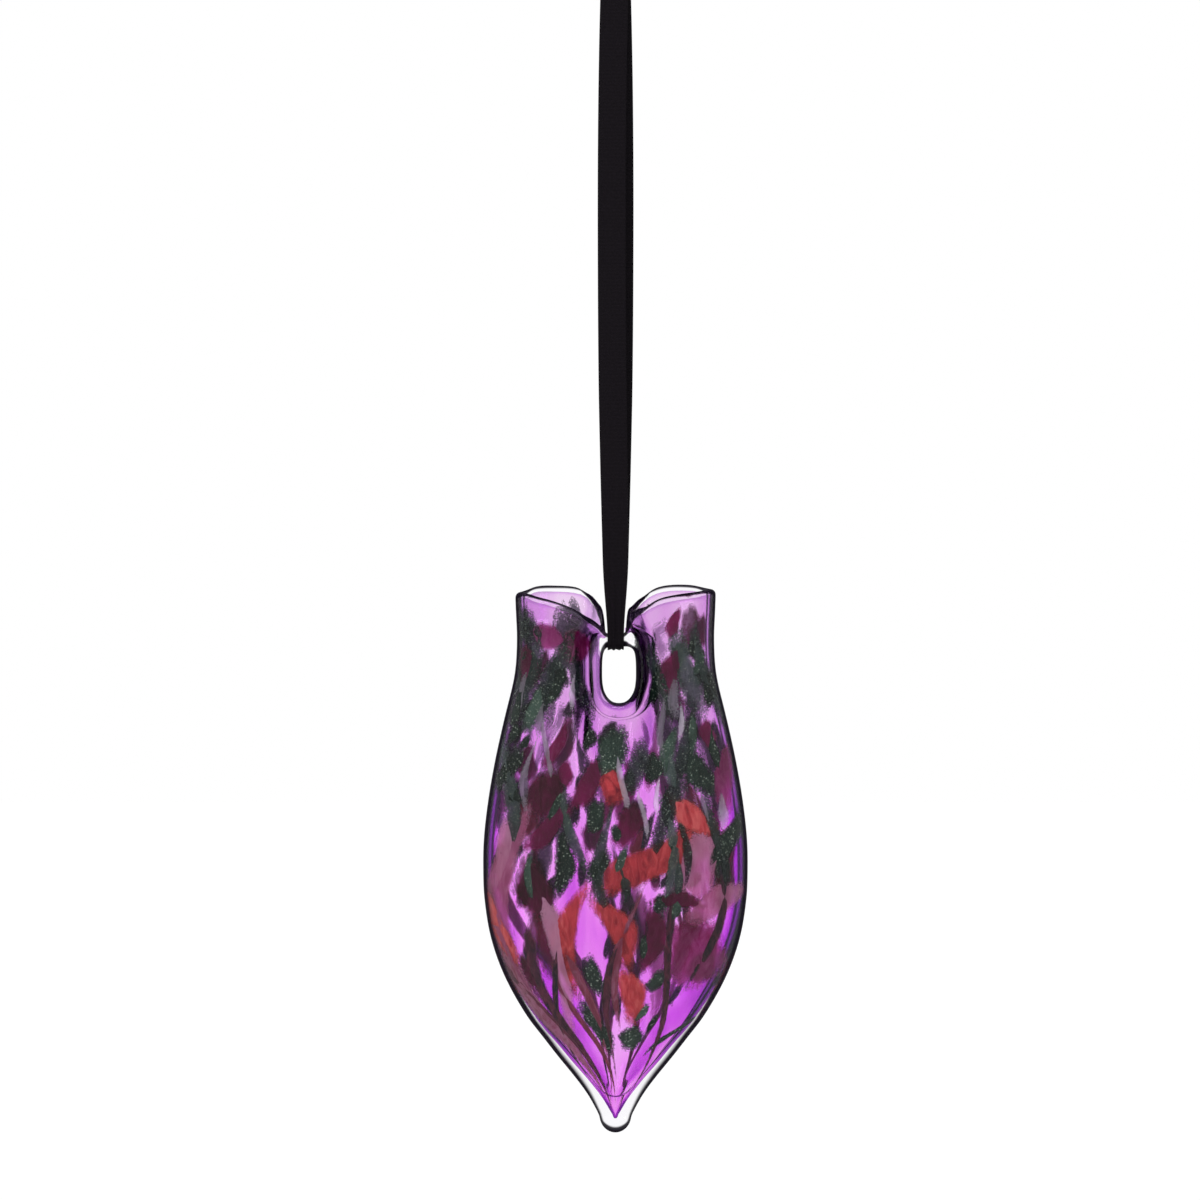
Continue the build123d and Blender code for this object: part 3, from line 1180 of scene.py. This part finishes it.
@dataclass(frozen=True)
class Thread(Finish):
    """Black sewing thread, twisted."""

    # Painted shade in the twist's hollows and painted highlight on its crests.
    painted_hollow_shade: Triple = (0.004, 0.004, 0.005)
    painted_crest_highlight: Triple = (0.022, 0.02, 0.024)
    twist_size: float = 2600.0
    twist_stretch: Triple = (1.0, 1.0, 2.4)

    def fill(self, nodes: Nodes) -> None:
        """Fills the node tree.

        Args:
            nodes: the material's empty tree.
        """
        twist = nodes.noise(nodes.place(self.twist_stretch), self.twist_size, detail=2.0)
        # The colour follows the bump's noise: painted shade and highlight.
        colour = nodes.ramp(twist, (0.3, self.painted_hollow_shade), (0.8, self.painted_crest_highlight))
        normal = nodes.bump(twist, strength=0.4, distance=0.0001)
        nodes.show(nodes.principled(Base_Color=colour, Roughness=0.5, Normal=normal))


@dataclass(frozen=True)
class FloorPaint(Finish):
    """Plain pale floor that looks white and keeps a soft shadow."""

    pale: Triple = (0.82, 0.82, 0.82)
    shaded: Triple = (0.30, 0.30, 0.30)
    glow: float = 0.86

    def fill(self, nodes: Nodes) -> None:
        """Fills the node tree.

        Args:
            nodes: the material's empty tree.
        """
        seen = nodes.seen()
        plain = nodes.principled(Base_Color=self.pale, Roughness=0.9)
        white = nodes.principled(
            Base_Color=self.shaded,
            Roughness=1.0,
            Specular_IOR_Level=0.0,
            Emission_Color=WHITE,
            Emission_Strength=self.glow,
        )
        nodes.show(nodes.add("ShaderNodeMixShader", {}, {0: seen, 1: plain, 2: white}))


@dataclass
class GlassVase:
    """The blown vase: clear wall, violet lining and frit."""

    shape: VaseShape = field(default_factory=VaseShape)
    body: str = "vase"
    outer: Skin = Skin(thin=0.0, foot=0.0, lower=1.6, web=0.0, pierced=True)
    inner: Skin = Skin(thin=3.8, foot=18.0, lower=1.6, web=6.4, pierced=False)
    colour: Skin = Skin(thin=2.7, foot=7.6, lower=2.0, web=1.4, pierced=False)
    lining_thick: float = 0.6
    smoky_share: Pair = (0.52, 0.86)
    rim_steps: int = 6
    # Painted shade: extra darkening of the glass's edges on the rims' lips, at the drop's point and on the
    # bar.
    rim_painted_shade: float = 1.5
    drop_painted_shade: float = 1.3
    drop_shade_range: Pair = (2.5, 8.0)
    bar_painted_shade: float = 2.1

    def wall(self) -> bpy.types.Object:
        """The clear wall as one closed mesh, from outer face over both lips to the pocket.

        Returns:
            The piece.
        """
        made = GlassMesh(self.shape)
        outer, inner = SheetPlan(self.shape, self.outer), SheetPlan(self.shape, self.inner)
        outside, inside = made.skin(outer), made.skin(inner)
        edges = zip(made.mouths(outer, outside), made.mouths(inner, inside))
        for out_edge, in_edge in edges:
            made.strip(out_edge, in_edge, self.rim_steps, made.over_rim, lip=self.rim_painted_shade)
        # Paints shade on the drop's point and on the bar.
        for vert in made.bm.verts:
            high = vert.co.z / MM - self.shape.tip_z
            vert[made.lip] += self.drop_painted_shade * (1 - ease(high, *self.drop_shade_range))
            vert[made.lip] += self.bar_painted_shade * self.shape.at_bar(vert.co.x / MM, high)
        obj = made.finish("glass_wall")
        subdivide(obj, 1)
        obj.data.materials.append(ClearGlass("clear_glass").material())
        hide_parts("clear_casing", "hole_lip", "tip_drop")
        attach(obj, self.body)
        return obj

    def lining(self) -> bpy.types.Object:
        """The violet layer inside the wall.

        Returns:
            The piece.
        """
        s = self.shape
        made = GlassMesh(s)
        made.skin(SheetPlan(s, self.colour))
        obj = made.finish("lining_glass")
        thicken(obj, self.lining_thick)
        neck = tuple((s.tip_z + share * s.height) * MM for share in self.smoky_share)
        obj.data.materials.append(VioletGlass("violet_glass", neck).material())
        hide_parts("violet_lining")
        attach(obj, self.body)
        return obj

    def build(self) -> list[bpy.types.Object]:
        """Builds and dresses the glass."""
        return [self.wall(), self.lining()]


@dataclass(frozen=True)
class Chip:
    """One chip of frit on the face of the glass, in millimetres.

    turn is its place across, from -1 at the left edge to 1 at the right one. Chips follow
    the lines from rim to point, so they close up towards the point.
    """

    turn: float
    high: float
    side: Side
    wide: float
    long: float
    lean: float
    point: float
    tone: float


@dataclass(frozen=True)
class Seen:
    """A chip at a chosen place on the front, in millimetres and degrees. A positive lean is to the left.

    long and wide are its clear part, inside the edge where it fades.
    """

    x: float
    high: float
    long: float
    wide: float
    lean: float = 0.0
    tone: float = 0.5


@dataclass
class Frit:
    """Chips of one colour, laid in the glass just outside the lining."""

    shape: VaseShape
    name: str
    slot: str
    finish: Finish
    seed: int
    count: int
    band: Pair
    long: Pair
    wide: Pair
    tone: Pair = (0.0, 1.0)
    lean: float = 14.0
    sway: float = 0.0
    apart: float = 0.38
    drifts: float = 0.0
    fade: float = 0.0
    thin: float = 1.9
    thick: float = 0.4
    seen: tuple[Seen, ...] = ()
    fading: float = 1.3
    drift_slant: float = 2.6
    drift_length: float = 34.0
    drift_waves: Pair = (0.32, 0.18)
    seen_point: float = 0.3
    points: Pair = (-0.3, 1.0)
    most_tries: int = 3000
    turns: float = 1.25
    edge_turn: float = 0.98
    small_bias: float = 1.8
    least_slim: float = 0.35
    slim_range: Pair = (30.0, 110.0)
    off_hole: float = 12.0
    under_hole: float = 18.0
    off_rim: float = 2.5
    off_drop: float = 4.0
    most_rings: int = 32
    taper: float = 0.55
    taper_range: Pair = (-0.5, 1.0)
    wobble: float = 0.20
    ripple: float = 0.07
    bend: float = 0.09
    bend_length: float = 40.0
    body: str = "vase"

    def drift_at(self, chip: Chip) -> float:
        """How thickly this colour lies at a place: it gathers in slanting drifts.

        Args:
            chip: a chip at the place.

        Returns:
            The cover, 0 to 1.
        """
        broad, fine = self.drift_waves
        along = self.drift_slant * chip.turn * chip.side.value
        along += chip.high / self.drift_length
        along += self.seed
        return 0.5 + broad * math.sin(along) + fine * math.sin(1.9 * along - chip.turn * 5)

    def fits(self, chip: Chip, taken: Iterable[Chip]) -> bool:
        """Tells whether a chip keeps off the hole, the rim and the chips before it.

        Args:
            chip: the new chip.
            taken: the chips before it.

        Returns:
            True if there is room.
        """
        s = self.shape
        if self.drift_at(chip) < self.drifts:
            return False
        x = chip.turn * s.room_at(chip.high, self.thin)
        top = chip.high + chip.long / 2
        beside = abs(x - s.hole_x) < self.off_hole + chip.wide / 2
        if beside and top > s.hole_height - self.under_hole:
            return False
        if top > s.rim_at(x, chip.side) - self.off_rim:
            return False
        for other in taken:
            if other.side is not chip.side:
                continue
            gap_x = (other.wide + chip.wide) * self.apart
            gap_z = (other.long + chip.long) * self.apart
            away = (x - other.turn * s.room_at(other.high, self.thin)) / gap_x
            if away**2 + ((chip.high - other.high) / gap_z) ** 2 < 1:
                return False
        return True

    def chosen(self, seen: Seen) -> Chip:
        """A chip at its chosen place.

        Args:
            seen: where it lies and how large it is.

        Returns:
            The chip.
        """
        return Chip(
            turn=seen.x / self.shape.room_at(seen.high, self.thin),
            high=seen.high,
            side=Side.FRONT,
            wide=seen.wide * self.fading,
            long=seen.long * self.fading,
            lean=math.radians(seen.lean),
            point=self.seen_point,
            tone=seen.tone,
        )

    def scatter(self, taken: list[Chip]) -> list[Chip]:
        """Lays the chosen chips, then finds places for the rest that keep a little apart.

        Args:
            taken: chips that are already placed; the new ones are added.

        Returns:
            The new chips.
        """
        rng = random.Random(self.seed)
        fresh = [self.chosen(seen) for seen in self.seen]
        taken.extend(fresh)
        for side in Side:
            placed, tries = len(self.seen) if side is Side.FRONT else 0, 0
            while placed < self.count and tries < self.most_tries:
                tries += 1
                high = rng.uniform(*self.band)
                slim = lerp(self.least_slim, 1.0, ease(high, *self.slim_range))
                chip = Chip(
                    turn=math.sin(rng.uniform(-self.turns, self.turns)) * self.edge_turn,
                    high=high,
                    side=side,
                    wide=lerp(*self.wide, rng.random() ** self.small_bias) * slim,
                    long=lerp(*self.long, rng.random() ** self.small_bias),
                    lean=math.radians(self.sway + rng.uniform(-self.lean, self.lean)),
                    point=rng.uniform(*self.points),
                    tone=rng.uniform(*self.tone),
                )
                if self.fits(chip, taken):
                    taken.append(chip)
                    fresh.append(chip)
                    placed += 1
        return fresh

    def lay(self, bm: bmesh.types.BMesh, chip: Chip) -> None:
        """Presses a small ball into a drop that follows the glass.

        Args:
            bm: mesh that takes the chip.
            chip: its place and size.
        """
        s = self.shape
        tone, edge = bm.verts.layers.float["tone"], bm.verts.layers.float["edge"]
        rings = min(10 + int(chip.long / 3), self.most_rings)
        ball = bmesh.ops.create_uvsphere(bm, u_segments=8, v_segments=rings, radius=1.0)["verts"]
        c, n = math.cos(chip.lean), math.sin(chip.lean)
        middle = s.room_at(chip.high, self.thin)
        lowest = s.outline[0][0] * s.height + self.off_drop
        bow = self.bend * chip.long
        for vert in ball:
            across, deep, t = vert.co
            narrow = 1 - chip.point * self.taper * ease(t, *self.taper_range)
            hand = 31 * chip.tone + (2.3 if across > 0 else 0.0)
            wave = 1 + self.wobble * math.sin(2.9 * t + hand)
            wave += self.ripple * math.sin(6.5 * t - 2.7 * hand)
            bend = bow * math.sin(1.9 * t + 40 * chip.tone) * min(chip.long / self.bend_length, 1)
            u = across * chip.wide / 2 * narrow * wave + bend
            v = t * chip.long / 2
            high = max(chip.high + u * n + v * c, lowest)
            turn = chip.turn + (u * c - v * n) / middle
            over = self.thin - deep * chip.side.value * self.thick
            vert.co = s.point(min(max(turn, -1), 1) * s.room_at(high, self.thin), high, chip.side, over)
            vert[tone] = chip.tone + self.fade * t
            vert[edge] = max(0.0, 1 - deep * deep) ** 0.5

    def build(self, taken: list[Chip], node: Optional[str] = None) -> bpy.types.Object:
        """Lays all chips and dresses them.

        Args:
            taken: chips placed so far.
            node: the CAD node that they stand for, if any.

        Returns:
            The piece.
        """
        bm = bmesh.new()
        for name in ("tone", "edge"):
            bm.verts.layers.float.new(name)
        for chip in self.scatter(taken):
            self.lay(bm, chip)
        bmesh.ops.recalc_face_normals(bm, faces=bm.faces)
        obj = to_object(bm, self.name)
        obj.data.materials.append(self.finish.material())
        if node:
            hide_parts(node)
        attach(obj, self.body)
        return obj


@dataclass
class Ribbon:
    """The black ribbon: a loop over its peg, two strands, and the turn under the bar."""

    width: float = 12.7
    gather: tuple = (
        (-6.0, 7.2),
        (6.0, 7.6),
        (26.0, 10.3),
        (36.0, 11.2),
        (70.0, 12.3),
        (110.0, 12.7),
    )
    pleat: float = 0.62
    crease: float = 0.22
    cells: int = 20
    curve_steps: int = 18
    thick: float = 0.55
    bar_z: float = -326.0
    half_gap: float = 4.0
    seam_z: float = -24.0
    drift: float = 1.8
    lap_z: float = -44.25
    lap_x: float = 0.4
    lap_long: float = 24.0
    lap_out: float = 0.82
    lap_end: float = 0.25
    lap_end_range: Pair = (0.42, 0.5)
    stitch_count: int = 5
    stitch_in: float = 3.0
    stitch_out: float = 1.12
    stitch_half: Triple = (0.85, 0.22, 0.28)
    loop_top: float = 0.5
    loop_side: float = -9.5
    turn_foot: float = -4.2
    finish: Finish = field(default_factory=lambda: RibbonCloth("black_ribbon"))

    def route_points(self, upper: bool) -> list[Triple]:
        """Control points of the ribbon's line, in millimetres.

        Args:
            upper: true for the loop over the peg, false for the strands and the turn.

        Returns:
            The points, from the front seam to the back one.
        """
        y, z, low = self.half_gap, self.seam_z, self.bar_z
        if upper:
            front = [(-0.3, -y, z), (-0.2, -y, self.loop_side), (-0.1, -y, self.loop_top)]
        else:
            front = [
                (-0.3, -y, z),
                (-self.drift, -y, -70.0),
                (-self.drift, -y, -190.0),
                (-0.4, -y, low + 60.0),
                (-0.2, -y, low + 24.0),
                (0.0, -y, low + 3.0),
                (0.0, -y, low + self.turn_foot),
            ]
        return front + [(-x, -deep, high) for x, deep, high in reversed(front)]

    def line(self, upper: bool) -> list[Vector]:
        """Points along the smooth line, in metres.

        Args:
            upper: true for the loop over the peg.

        Returns:
            The points, from the front seam to the back one.
        """
        curve = bpy.data.curves.new("route", "CURVE")
        curve.dimensions = "3D"
        points = self.route_points(upper)
        spline = curve.splines.new("NURBS")
        spline.points.add(len(points) - 1)
        for slot, point in zip(spline.points, points):
            slot.co = (*(n * MM for n in point), 1.0)
        spline.order_u = 3
        spline.use_endpoint_u = True
        spline.resolution_u = self.curve_steps
        holder = bpy.data.objects.new("route", curve)
        bpy.context.collection.objects.link(holder)
        bpy.context.view_layer.update()
        mesh = bpy.data.meshes.new_from_object(holder)
        found = [v.co.copy() for v in mesh.vertices]
        bpy.data.objects.remove(holder)
        bpy.data.curves.remove(curve)
        bpy.data.meshes.remove(mesh)
        return found

    def width_at(self, z: float) -> float:
        """Width of the strand at a height, gathered towards the bar."""
        return smooth_table(self.gather, z / MM - self.bar_z, 1)

    def strand(self, upper: bool) -> bpy.types.Object:
        """One stretch of ribbon along its line, with pleats where it is gathered.

        Args:
            upper: true for the loop over the peg.

        Returns:
            The piece.
        """
        line = self.line(upper)
        cells = self.cells
        bm = bmesh.new()
        along, across = (bm.verts.layers.float.new(n) for n in ("along", "across"))
        verts = bmesh.ops.create_grid(bm, x_segments=cells, y_segments=len(line) - 1, size=1.0)["verts"]
        run = 0.0
        for i, spot in enumerate(line):
            run += (spot - line[i - 1]).length if i else 0.0
            ahead = (line[min(i + 1, len(line) - 1)] - line[max(i - 1, 0)]).normalized()
            out = Vector((1, 0, 0)).cross(ahead).normalized()
            wide = self.width_at(spot.z)
            slack = (self.width - wide) / self.width
            for k in range(cells + 1):
                u = k / cells - 0.5
                fold = math.sin(u * 19.0 + 0.6) * self.pleat * slack
                fold += math.sin(u * 31.0 + 2.0) * self.crease * slack
                vert = verts[i * (cells + 1) + k]
                vert.co = spot + Vector((u * wide, 0, 0)) * MM + out * fold * MM
                vert[along], vert[across] = run, u * self.width * MM
        bmesh.ops.recalc_face_normals(bm, faces=bm.faces)
        name = "ribbon_loop" if upper else "ribbon_strands"
        obj = to_object(bm, name)
        thicken(obj, self.thick)
        obj.data.materials.append(self.finish.material())
        return obj

    def lap(self) -> bpy.types.Object:
        """The sewn-down end of the ribbon on the back strand.

        Returns:
            The piece.
        """
        bm = bmesh.new()
        along, across = (bm.verts.layers.float.new(n) for n in ("along", "across"))
        made = bmesh.ops.create_grid(bm, x_segments=8, y_segments=12, size=0.5)
        for vert in made["verts"]:
            u, t = vert.co.x, vert.co.y
            end = self.lap_end * ease(abs(t), *self.lap_end_range)
            out = self.half_gap + self.lap_out - end
            vert.co = Vector((self.lap_x + u * self.width, out, self.lap_z + t * self.lap_long)) * MM
            vert[along], vert[across] = t * self.lap_long * MM, u * self.width * MM
        bmesh.ops.recalc_face_normals(bm, faces=bm.faces)
        obj = to_object(bm, "ribbon_lap_end")
        thicken(obj, self.thick)
        obj.data.materials.append(self.finish.material())
        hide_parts("ribbon_lap")
        return obj

    def stitches(self) -> bpy.types.Object:
        """Two rows of thread across the lap.

        Returns:
            The piece.
        """
        bm = bmesh.new()
        for row in (-1, 1):
            for k in range(self.stitch_count):
                x = self.lap_x + self.width * ((k + 0.5) / self.stitch_count - 0.5)
                z = self.lap_z + row * (self.lap_long / 2 - self.stitch_in)
                middle = (x, self.half_gap + self.stitch_out, z)
                ball = bmesh.ops.create_uvsphere(bm, u_segments=10, v_segments=8, radius=1.0)["verts"]
                for vert in ball:
                    sizes = zip(middle, vert.co, self.stitch_half)
                    vert.co = Vector([at + share * half for at, share, half in sizes]) * MM
        bmesh.ops.recalc_face_normals(bm, faces=bm.faces)
        obj = to_object(bm, "lap_stitches")
        obj.data.materials.append(Thread("black_thread").material())
        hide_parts("lap_thread")
        return obj

    def build(self) -> list[bpy.types.Object]:
        """Builds both stretches and lets them swing and twist.

        Returns:
            The loop, the strands, the lap and its stitches.
        """
        loop, strands = self.strand(True), self.strand(False)
        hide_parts("ribbon_top_loop", "ribbon_neck_front", "ribbon_neck_back")
        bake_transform(loop, "hanger", "ribbon_neck", start=(0, 0, -9 * MM), end=(0, 0, -23 * MM))
        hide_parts("ribbon_strand_front", "ribbon_strand_back", "ribbon_bight")
        made = [loop, strands, self.lap(), self.stitches()]
        for piece in made[1:]:
            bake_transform(piece, "ribbon_neck", "ribbon", start=(0, 0, -28 * MM), end=(0, 0, -285 * MM))
        return made


@dataclass
class Studio:
    """Camera, lamps and white surroundings."""

    aim: Triple = (-7.1, 0.0, -307.7)
    frame_width: float = 548.4
    distance: float = 1700.0
    elevation: float = 4.0
    sensor: float = 36.0
    floor_z: float = -1150.0
    floor_half: float = 6.0
    lamp_aim: Triple = (0.0, 0.0, -0.40)

    def camera(self) -> bpy.types.Object:
        """Long lens a little above the rim.

        Returns:
            The camera.
        """
        data = bpy.data.cameras.new("camera")
        data.sensor_width = self.sensor
        data.lens = self.sensor * self.distance / self.frame_width
        obj = bpy.data.objects.new("camera", data)
        tilt = math.radians(self.elevation)
        away = Vector((0, -math.cos(tilt), math.sin(tilt))) * self.distance
        obj.location = (Vector(self.aim) + away) * MM
        obj.rotation_euler = (math.pi / 2 - tilt, 0, 0)
        bpy.context.collection.objects.link(obj)
        bpy.context.scene.camera = obj
        return obj

    def lamp(
        self,
        name: str,
        at: Triple,
        size: Pair,
        power: float,
        glint: bool = False,
    ) -> None:
        """Hangs a soft box that faces the vase.

        Args:
            name: its name.
            at: its place in metres.
            size: its width and height in metres.
            power: its power in watts.
            glint: whether gloss mirrors it.
        """
        data = bpy.data.lights.new(name, "AREA")
        data.shape, data.size, data.size_y = "RECTANGLE", size[0], size[1]
        data.energy = power
        obj = bpy.data.objects.new(name, data)
        obj.location = at
        aim = Vector(self.lamp_aim) - Vector(at)
        obj.rotation_euler = aim.to_track_quat("-Z", "Y").to_euler()
        obj.visible_glossy = glint
        bpy.context.collection.objects.link(obj)

    def world(self) -> None:
        """White surroundings, dimmer for the light that reaches the piece."""
        world = bpy.data.worlds.new("white")
        world.use_nodes = True
        bpy.context.scene.world = world
        nodes = Nodes(world.node_tree)
        plain = nodes.add("ShaderNodeBackground", {}, {"Color": (0.9, 0.9, 0.92), "Strength": 0.55})
        white = nodes.add("ShaderNodeBackground", {}, {"Color": WHITE, "Strength": 1.0})
        both = nodes.add("ShaderNodeMixShader", {}, {0: nodes.seen(), 1: plain, 2: white})
        nodes.show(both, "ShaderNodeOutputWorld")

    def floor(self) -> None:
        """Lays the floor well under the vase."""
        bm = bmesh.new()
        made = bmesh.ops.create_grid(bm, x_segments=1, y_segments=1, size=self.floor_half)["verts"]
        bmesh.ops.translate(bm, verts=made, vec=(0, 0, self.floor_z * MM))
        obj = to_object(bm, "floor")
        obj.data.materials.append(FloorPaint("floor_paint").material())

    def build(self) -> None:
        """Sets up camera, lamps, world and floor."""
        bpy.context.scene.view_settings.view_transform = "Standard"
        self.camera()
        self.world()
        self.floor()
        self.lamp("key", (-1.1, -1.3, 0.25), (0.5, 1.2), 16.0)
        self.lamp("fill", (1.3, -1.0, -0.1), (0.35, 1.2), 9.0)
        self.lamp("top", (0.0, -0.2, 1.1), (0.9, 0.6), 8.0, glint=True)


def vase_frit(shape: VaseShape) -> list[tuple[Frit, Optional[str]]]:
    """The vase's chips and streaks, in the order in which they are laid.

    Args:
        shape: form of the vase.

    Returns:
        Each kind of chip with the CAD node that it stands for, if any.
    """
    coral = FritGlass(
        "coral_glass", dark=(0.10, 0.004, 0.012), body=(0.40, 0.034, 0.042),
        pale=(0.62, 0.13, 0.13), clear=0.35, veining=1.2,
    )
    rose = FritGlass(
        "rose_glass", dark=(0.16, 0.02, 0.07), body=(0.36, 0.085, 0.19), pale=(0.58, 0.26, 0.42),
        clear=0.5, ragged=0.8, cover=0.8,
    )
    green = FritGlass(
        "green_glass", dark=(0.002, 0.004, 0.003), body=(0.009, 0.018, 0.013),
        pale=(0.040, 0.070, 0.053), clear=0.25, sparkle=0.8, ragged=1.1, grain=0.9,
    )
    veil = FritGlass(
        "green_veil", dark=(0.004, 0.007, 0.007), body=(0.016, 0.026, 0.024),
        pale=(0.070, 0.100, 0.090), clear=0.4, sparkle=0.5, ragged=1.8, cover=0.86, grain=0.9,
    )
    plum = FritGlass(
        "plum_glass", dark=(0.040, 0.001, 0.010), body=(0.16, 0.004, 0.060),
        pale=(0.42, 0.065, 0.26), clear=0.65,
    )
    trail = FritGlass(
        "trail_glass", dark=(0.010, 0.006, 0.012), body=(0.18, 0.030, 0.060),
        pale=(0.46, 0.20, 0.32), clear=0.45,
    )
    mist = FritGlass(
        "mist_glass", dark=(0.05, 0.06, 0.06), body=(0.34, 0.29, 0.36), pale=(0.86, 0.78, 0.90),
        clear=0.6, ragged=1.6, cover=0.6,
    )
    coral_folds = Frit(
        shape, "coral_chips", "coral_glass", coral, seed=5, count=7, band=(62, 190), long=(16, 52),
        wide=(8, 21), sway=-10, fade=0.2,
        seen=(
            Seen(13, 129, 46, 17, -45, 0.32),
            Seen(-2, 163, 15, 10.5, -10, 0.22),
            Seen(-18, 93, 46, 9.5, -8, 0.44),
            Seen(-1, 96, 32, 11.5, 22, 0.36),
            Seen(6, 67, 24, 11, 20, 0.52),
            Seen(35, 150, 24, 10, 50, 0.60),
            Seen(-54, 98, 34, 7.5, 0, 0.70),
        ),
    )
    rose_folds = Frit(
        shape, "rose_veils", "plum_glass", rose, seed=7, count=5, band=(70, 190), long=(40, 90),
        wide=(8, 20), apart=0.3, fade=0.2,
        seen=(
            Seen(40, 127, 31, 18, 0, 0.75),
            Seen(46, 108, 28, 12, -58, 0.60),
            Seen(-46, 112, 80, 10, 0, 0.45),
        ),
    )
    trails = Frit(
        shape, "glass_trails", "coral_glass", trail, seed=31, count=10, band=(50, 105),
        long=(70, 150), wide=(4.5, 9), lean=3, apart=0.12, drifts=0.45,
        seen=(Seen(-27, 56, 64, 6.5, -4, 0.72), Seen(-20, 60, 84, 5, -4, 0.10)),
    )
    green_chips = Frit(
        shape, "green_chips", "green_glass", green, seed=11, count=38, band=(46, 226), long=(9, 28),
        wide=(4.5, 10), sway=-14, apart=0.33, drifts=0.22, fading=1.1,
        seen=(
            Seen(-37, 198, 23, 8.5, 5, 0.95),
            Seen(-1, 177, 25, 15, -20, 0.60),
            Seen(17, 171, 14, 8, -10, 0.35),
            Seen(52, 136, 32, 10.5, -16, 0.30),
            Seen(38, 170, 25, 13, 30, 0.45),
            Seen(-9, 150, 15, 9, -25, 0.40),
            Seen(-26, 129, 34, 9, -6, 0.20),
            Seen(-7, 127, 18, 10, -12, 0.30),
            Seen(-9, 77, 20, 8, 15, 0.45),
            Seen(-7, 52, 28, 8, 10, 0.40),
            Seen(7, 47, 12, 11, 0, 0.60),
            Seen(18, 74, 11, 8, -25, 0.55),
        ),
    )
    green_veils = Frit(
        shape, "green_veils", "green_glass", veil, seed=13, count=20, band=(120, 238),
        long=(20, 78), wide=(6, 15), lean=8, apart=0.2, fade=0.2,
        seen=(
            Seen(-36, 214, 36, 10, 2, 0.45),
            Seen(-26, 212, 38, 11, 0, 0.30),
            Seen(-15, 209, 30, 6, 4, 0.25),
            Seen(20, 212, 32, 6, -4, 0.40),
            Seen(31, 215, 36, 10, 0, 0.70),
            Seen(40, 213, 38, 6, -2, 0.55),
        ),
    )
    plum_chips = Frit(
        shape, "plum_chips", "plum_glass", plum, seed=23, count=18, band=(66, 240), long=(14, 40),
        wide=(7, 16), sway=-8, apart=0.33, fade=-0.15,
        seen=(
            Seen(-31, 160, 20, 16, -35, 0.08),
            Seen(-12, 164, 22, 9, -45, 0.40),
            Seen(-30, 144, 25, 8.5, -58, 0.40),
            Seen(6, 146, 19, 12, -10, 0.15),
            Seen(-38, 117, 25, 15, 0, 0.05),
            Seen(15, 94, 27, 10, 0, 0.35),
            Seen(28, 110, 21, 6.5, 80, 0.20),
            Seen(36, 87, 31, 25, 15, 0.70),
            Seen(26, 216, 20, 8.5, -8, 0.30),
            Seen(-19, 226, 14, 13, -20, 0.55),
        ),
    )
    mist_chips = Frit(
        shape, "mist_chips", "violet_glass", mist, seed=41, count=14, band=(150, 236),
        long=(18, 50), wide=(3, 7), lean=6, apart=0.25,
    )
    bubbles = Frit(
        shape, "air_bubbles", "clear_glass", Bubble("bubble_air"), seed=53, count=9, band=(50, 200),
        long=(1.0, 2.6), wide=(0.9, 1.7), thin=0.9, apart=0.1,
    )
    return [
        (coral_folds, "coral_frit"),
        (rose_folds, None),
        (trails, None),
        (green_chips, "green_frit"),
        (plum_chips, "plum_frit"),
        (green_veils, None),
        (mist_chips, None),
        (bubbles, None),
    ]


def main() -> None:
    """Builds the pieces in order and reports each."""
    logging.basicConfig(level=logging.INFO, format="%(message)s")
    Studio().build()
    vase = GlassVase()
    pieces = Ribbon().build() + vase.build()
    taken: list[Chip] = []
    for frit, node in vase_frit(vase.shape):
        pieces.append(frit.build(taken, node))
    for piece in pieces:
        log.info("%s: %d faces", piece.name, len(piece.data.polygons))


if __name__ == "__main__":
    main()
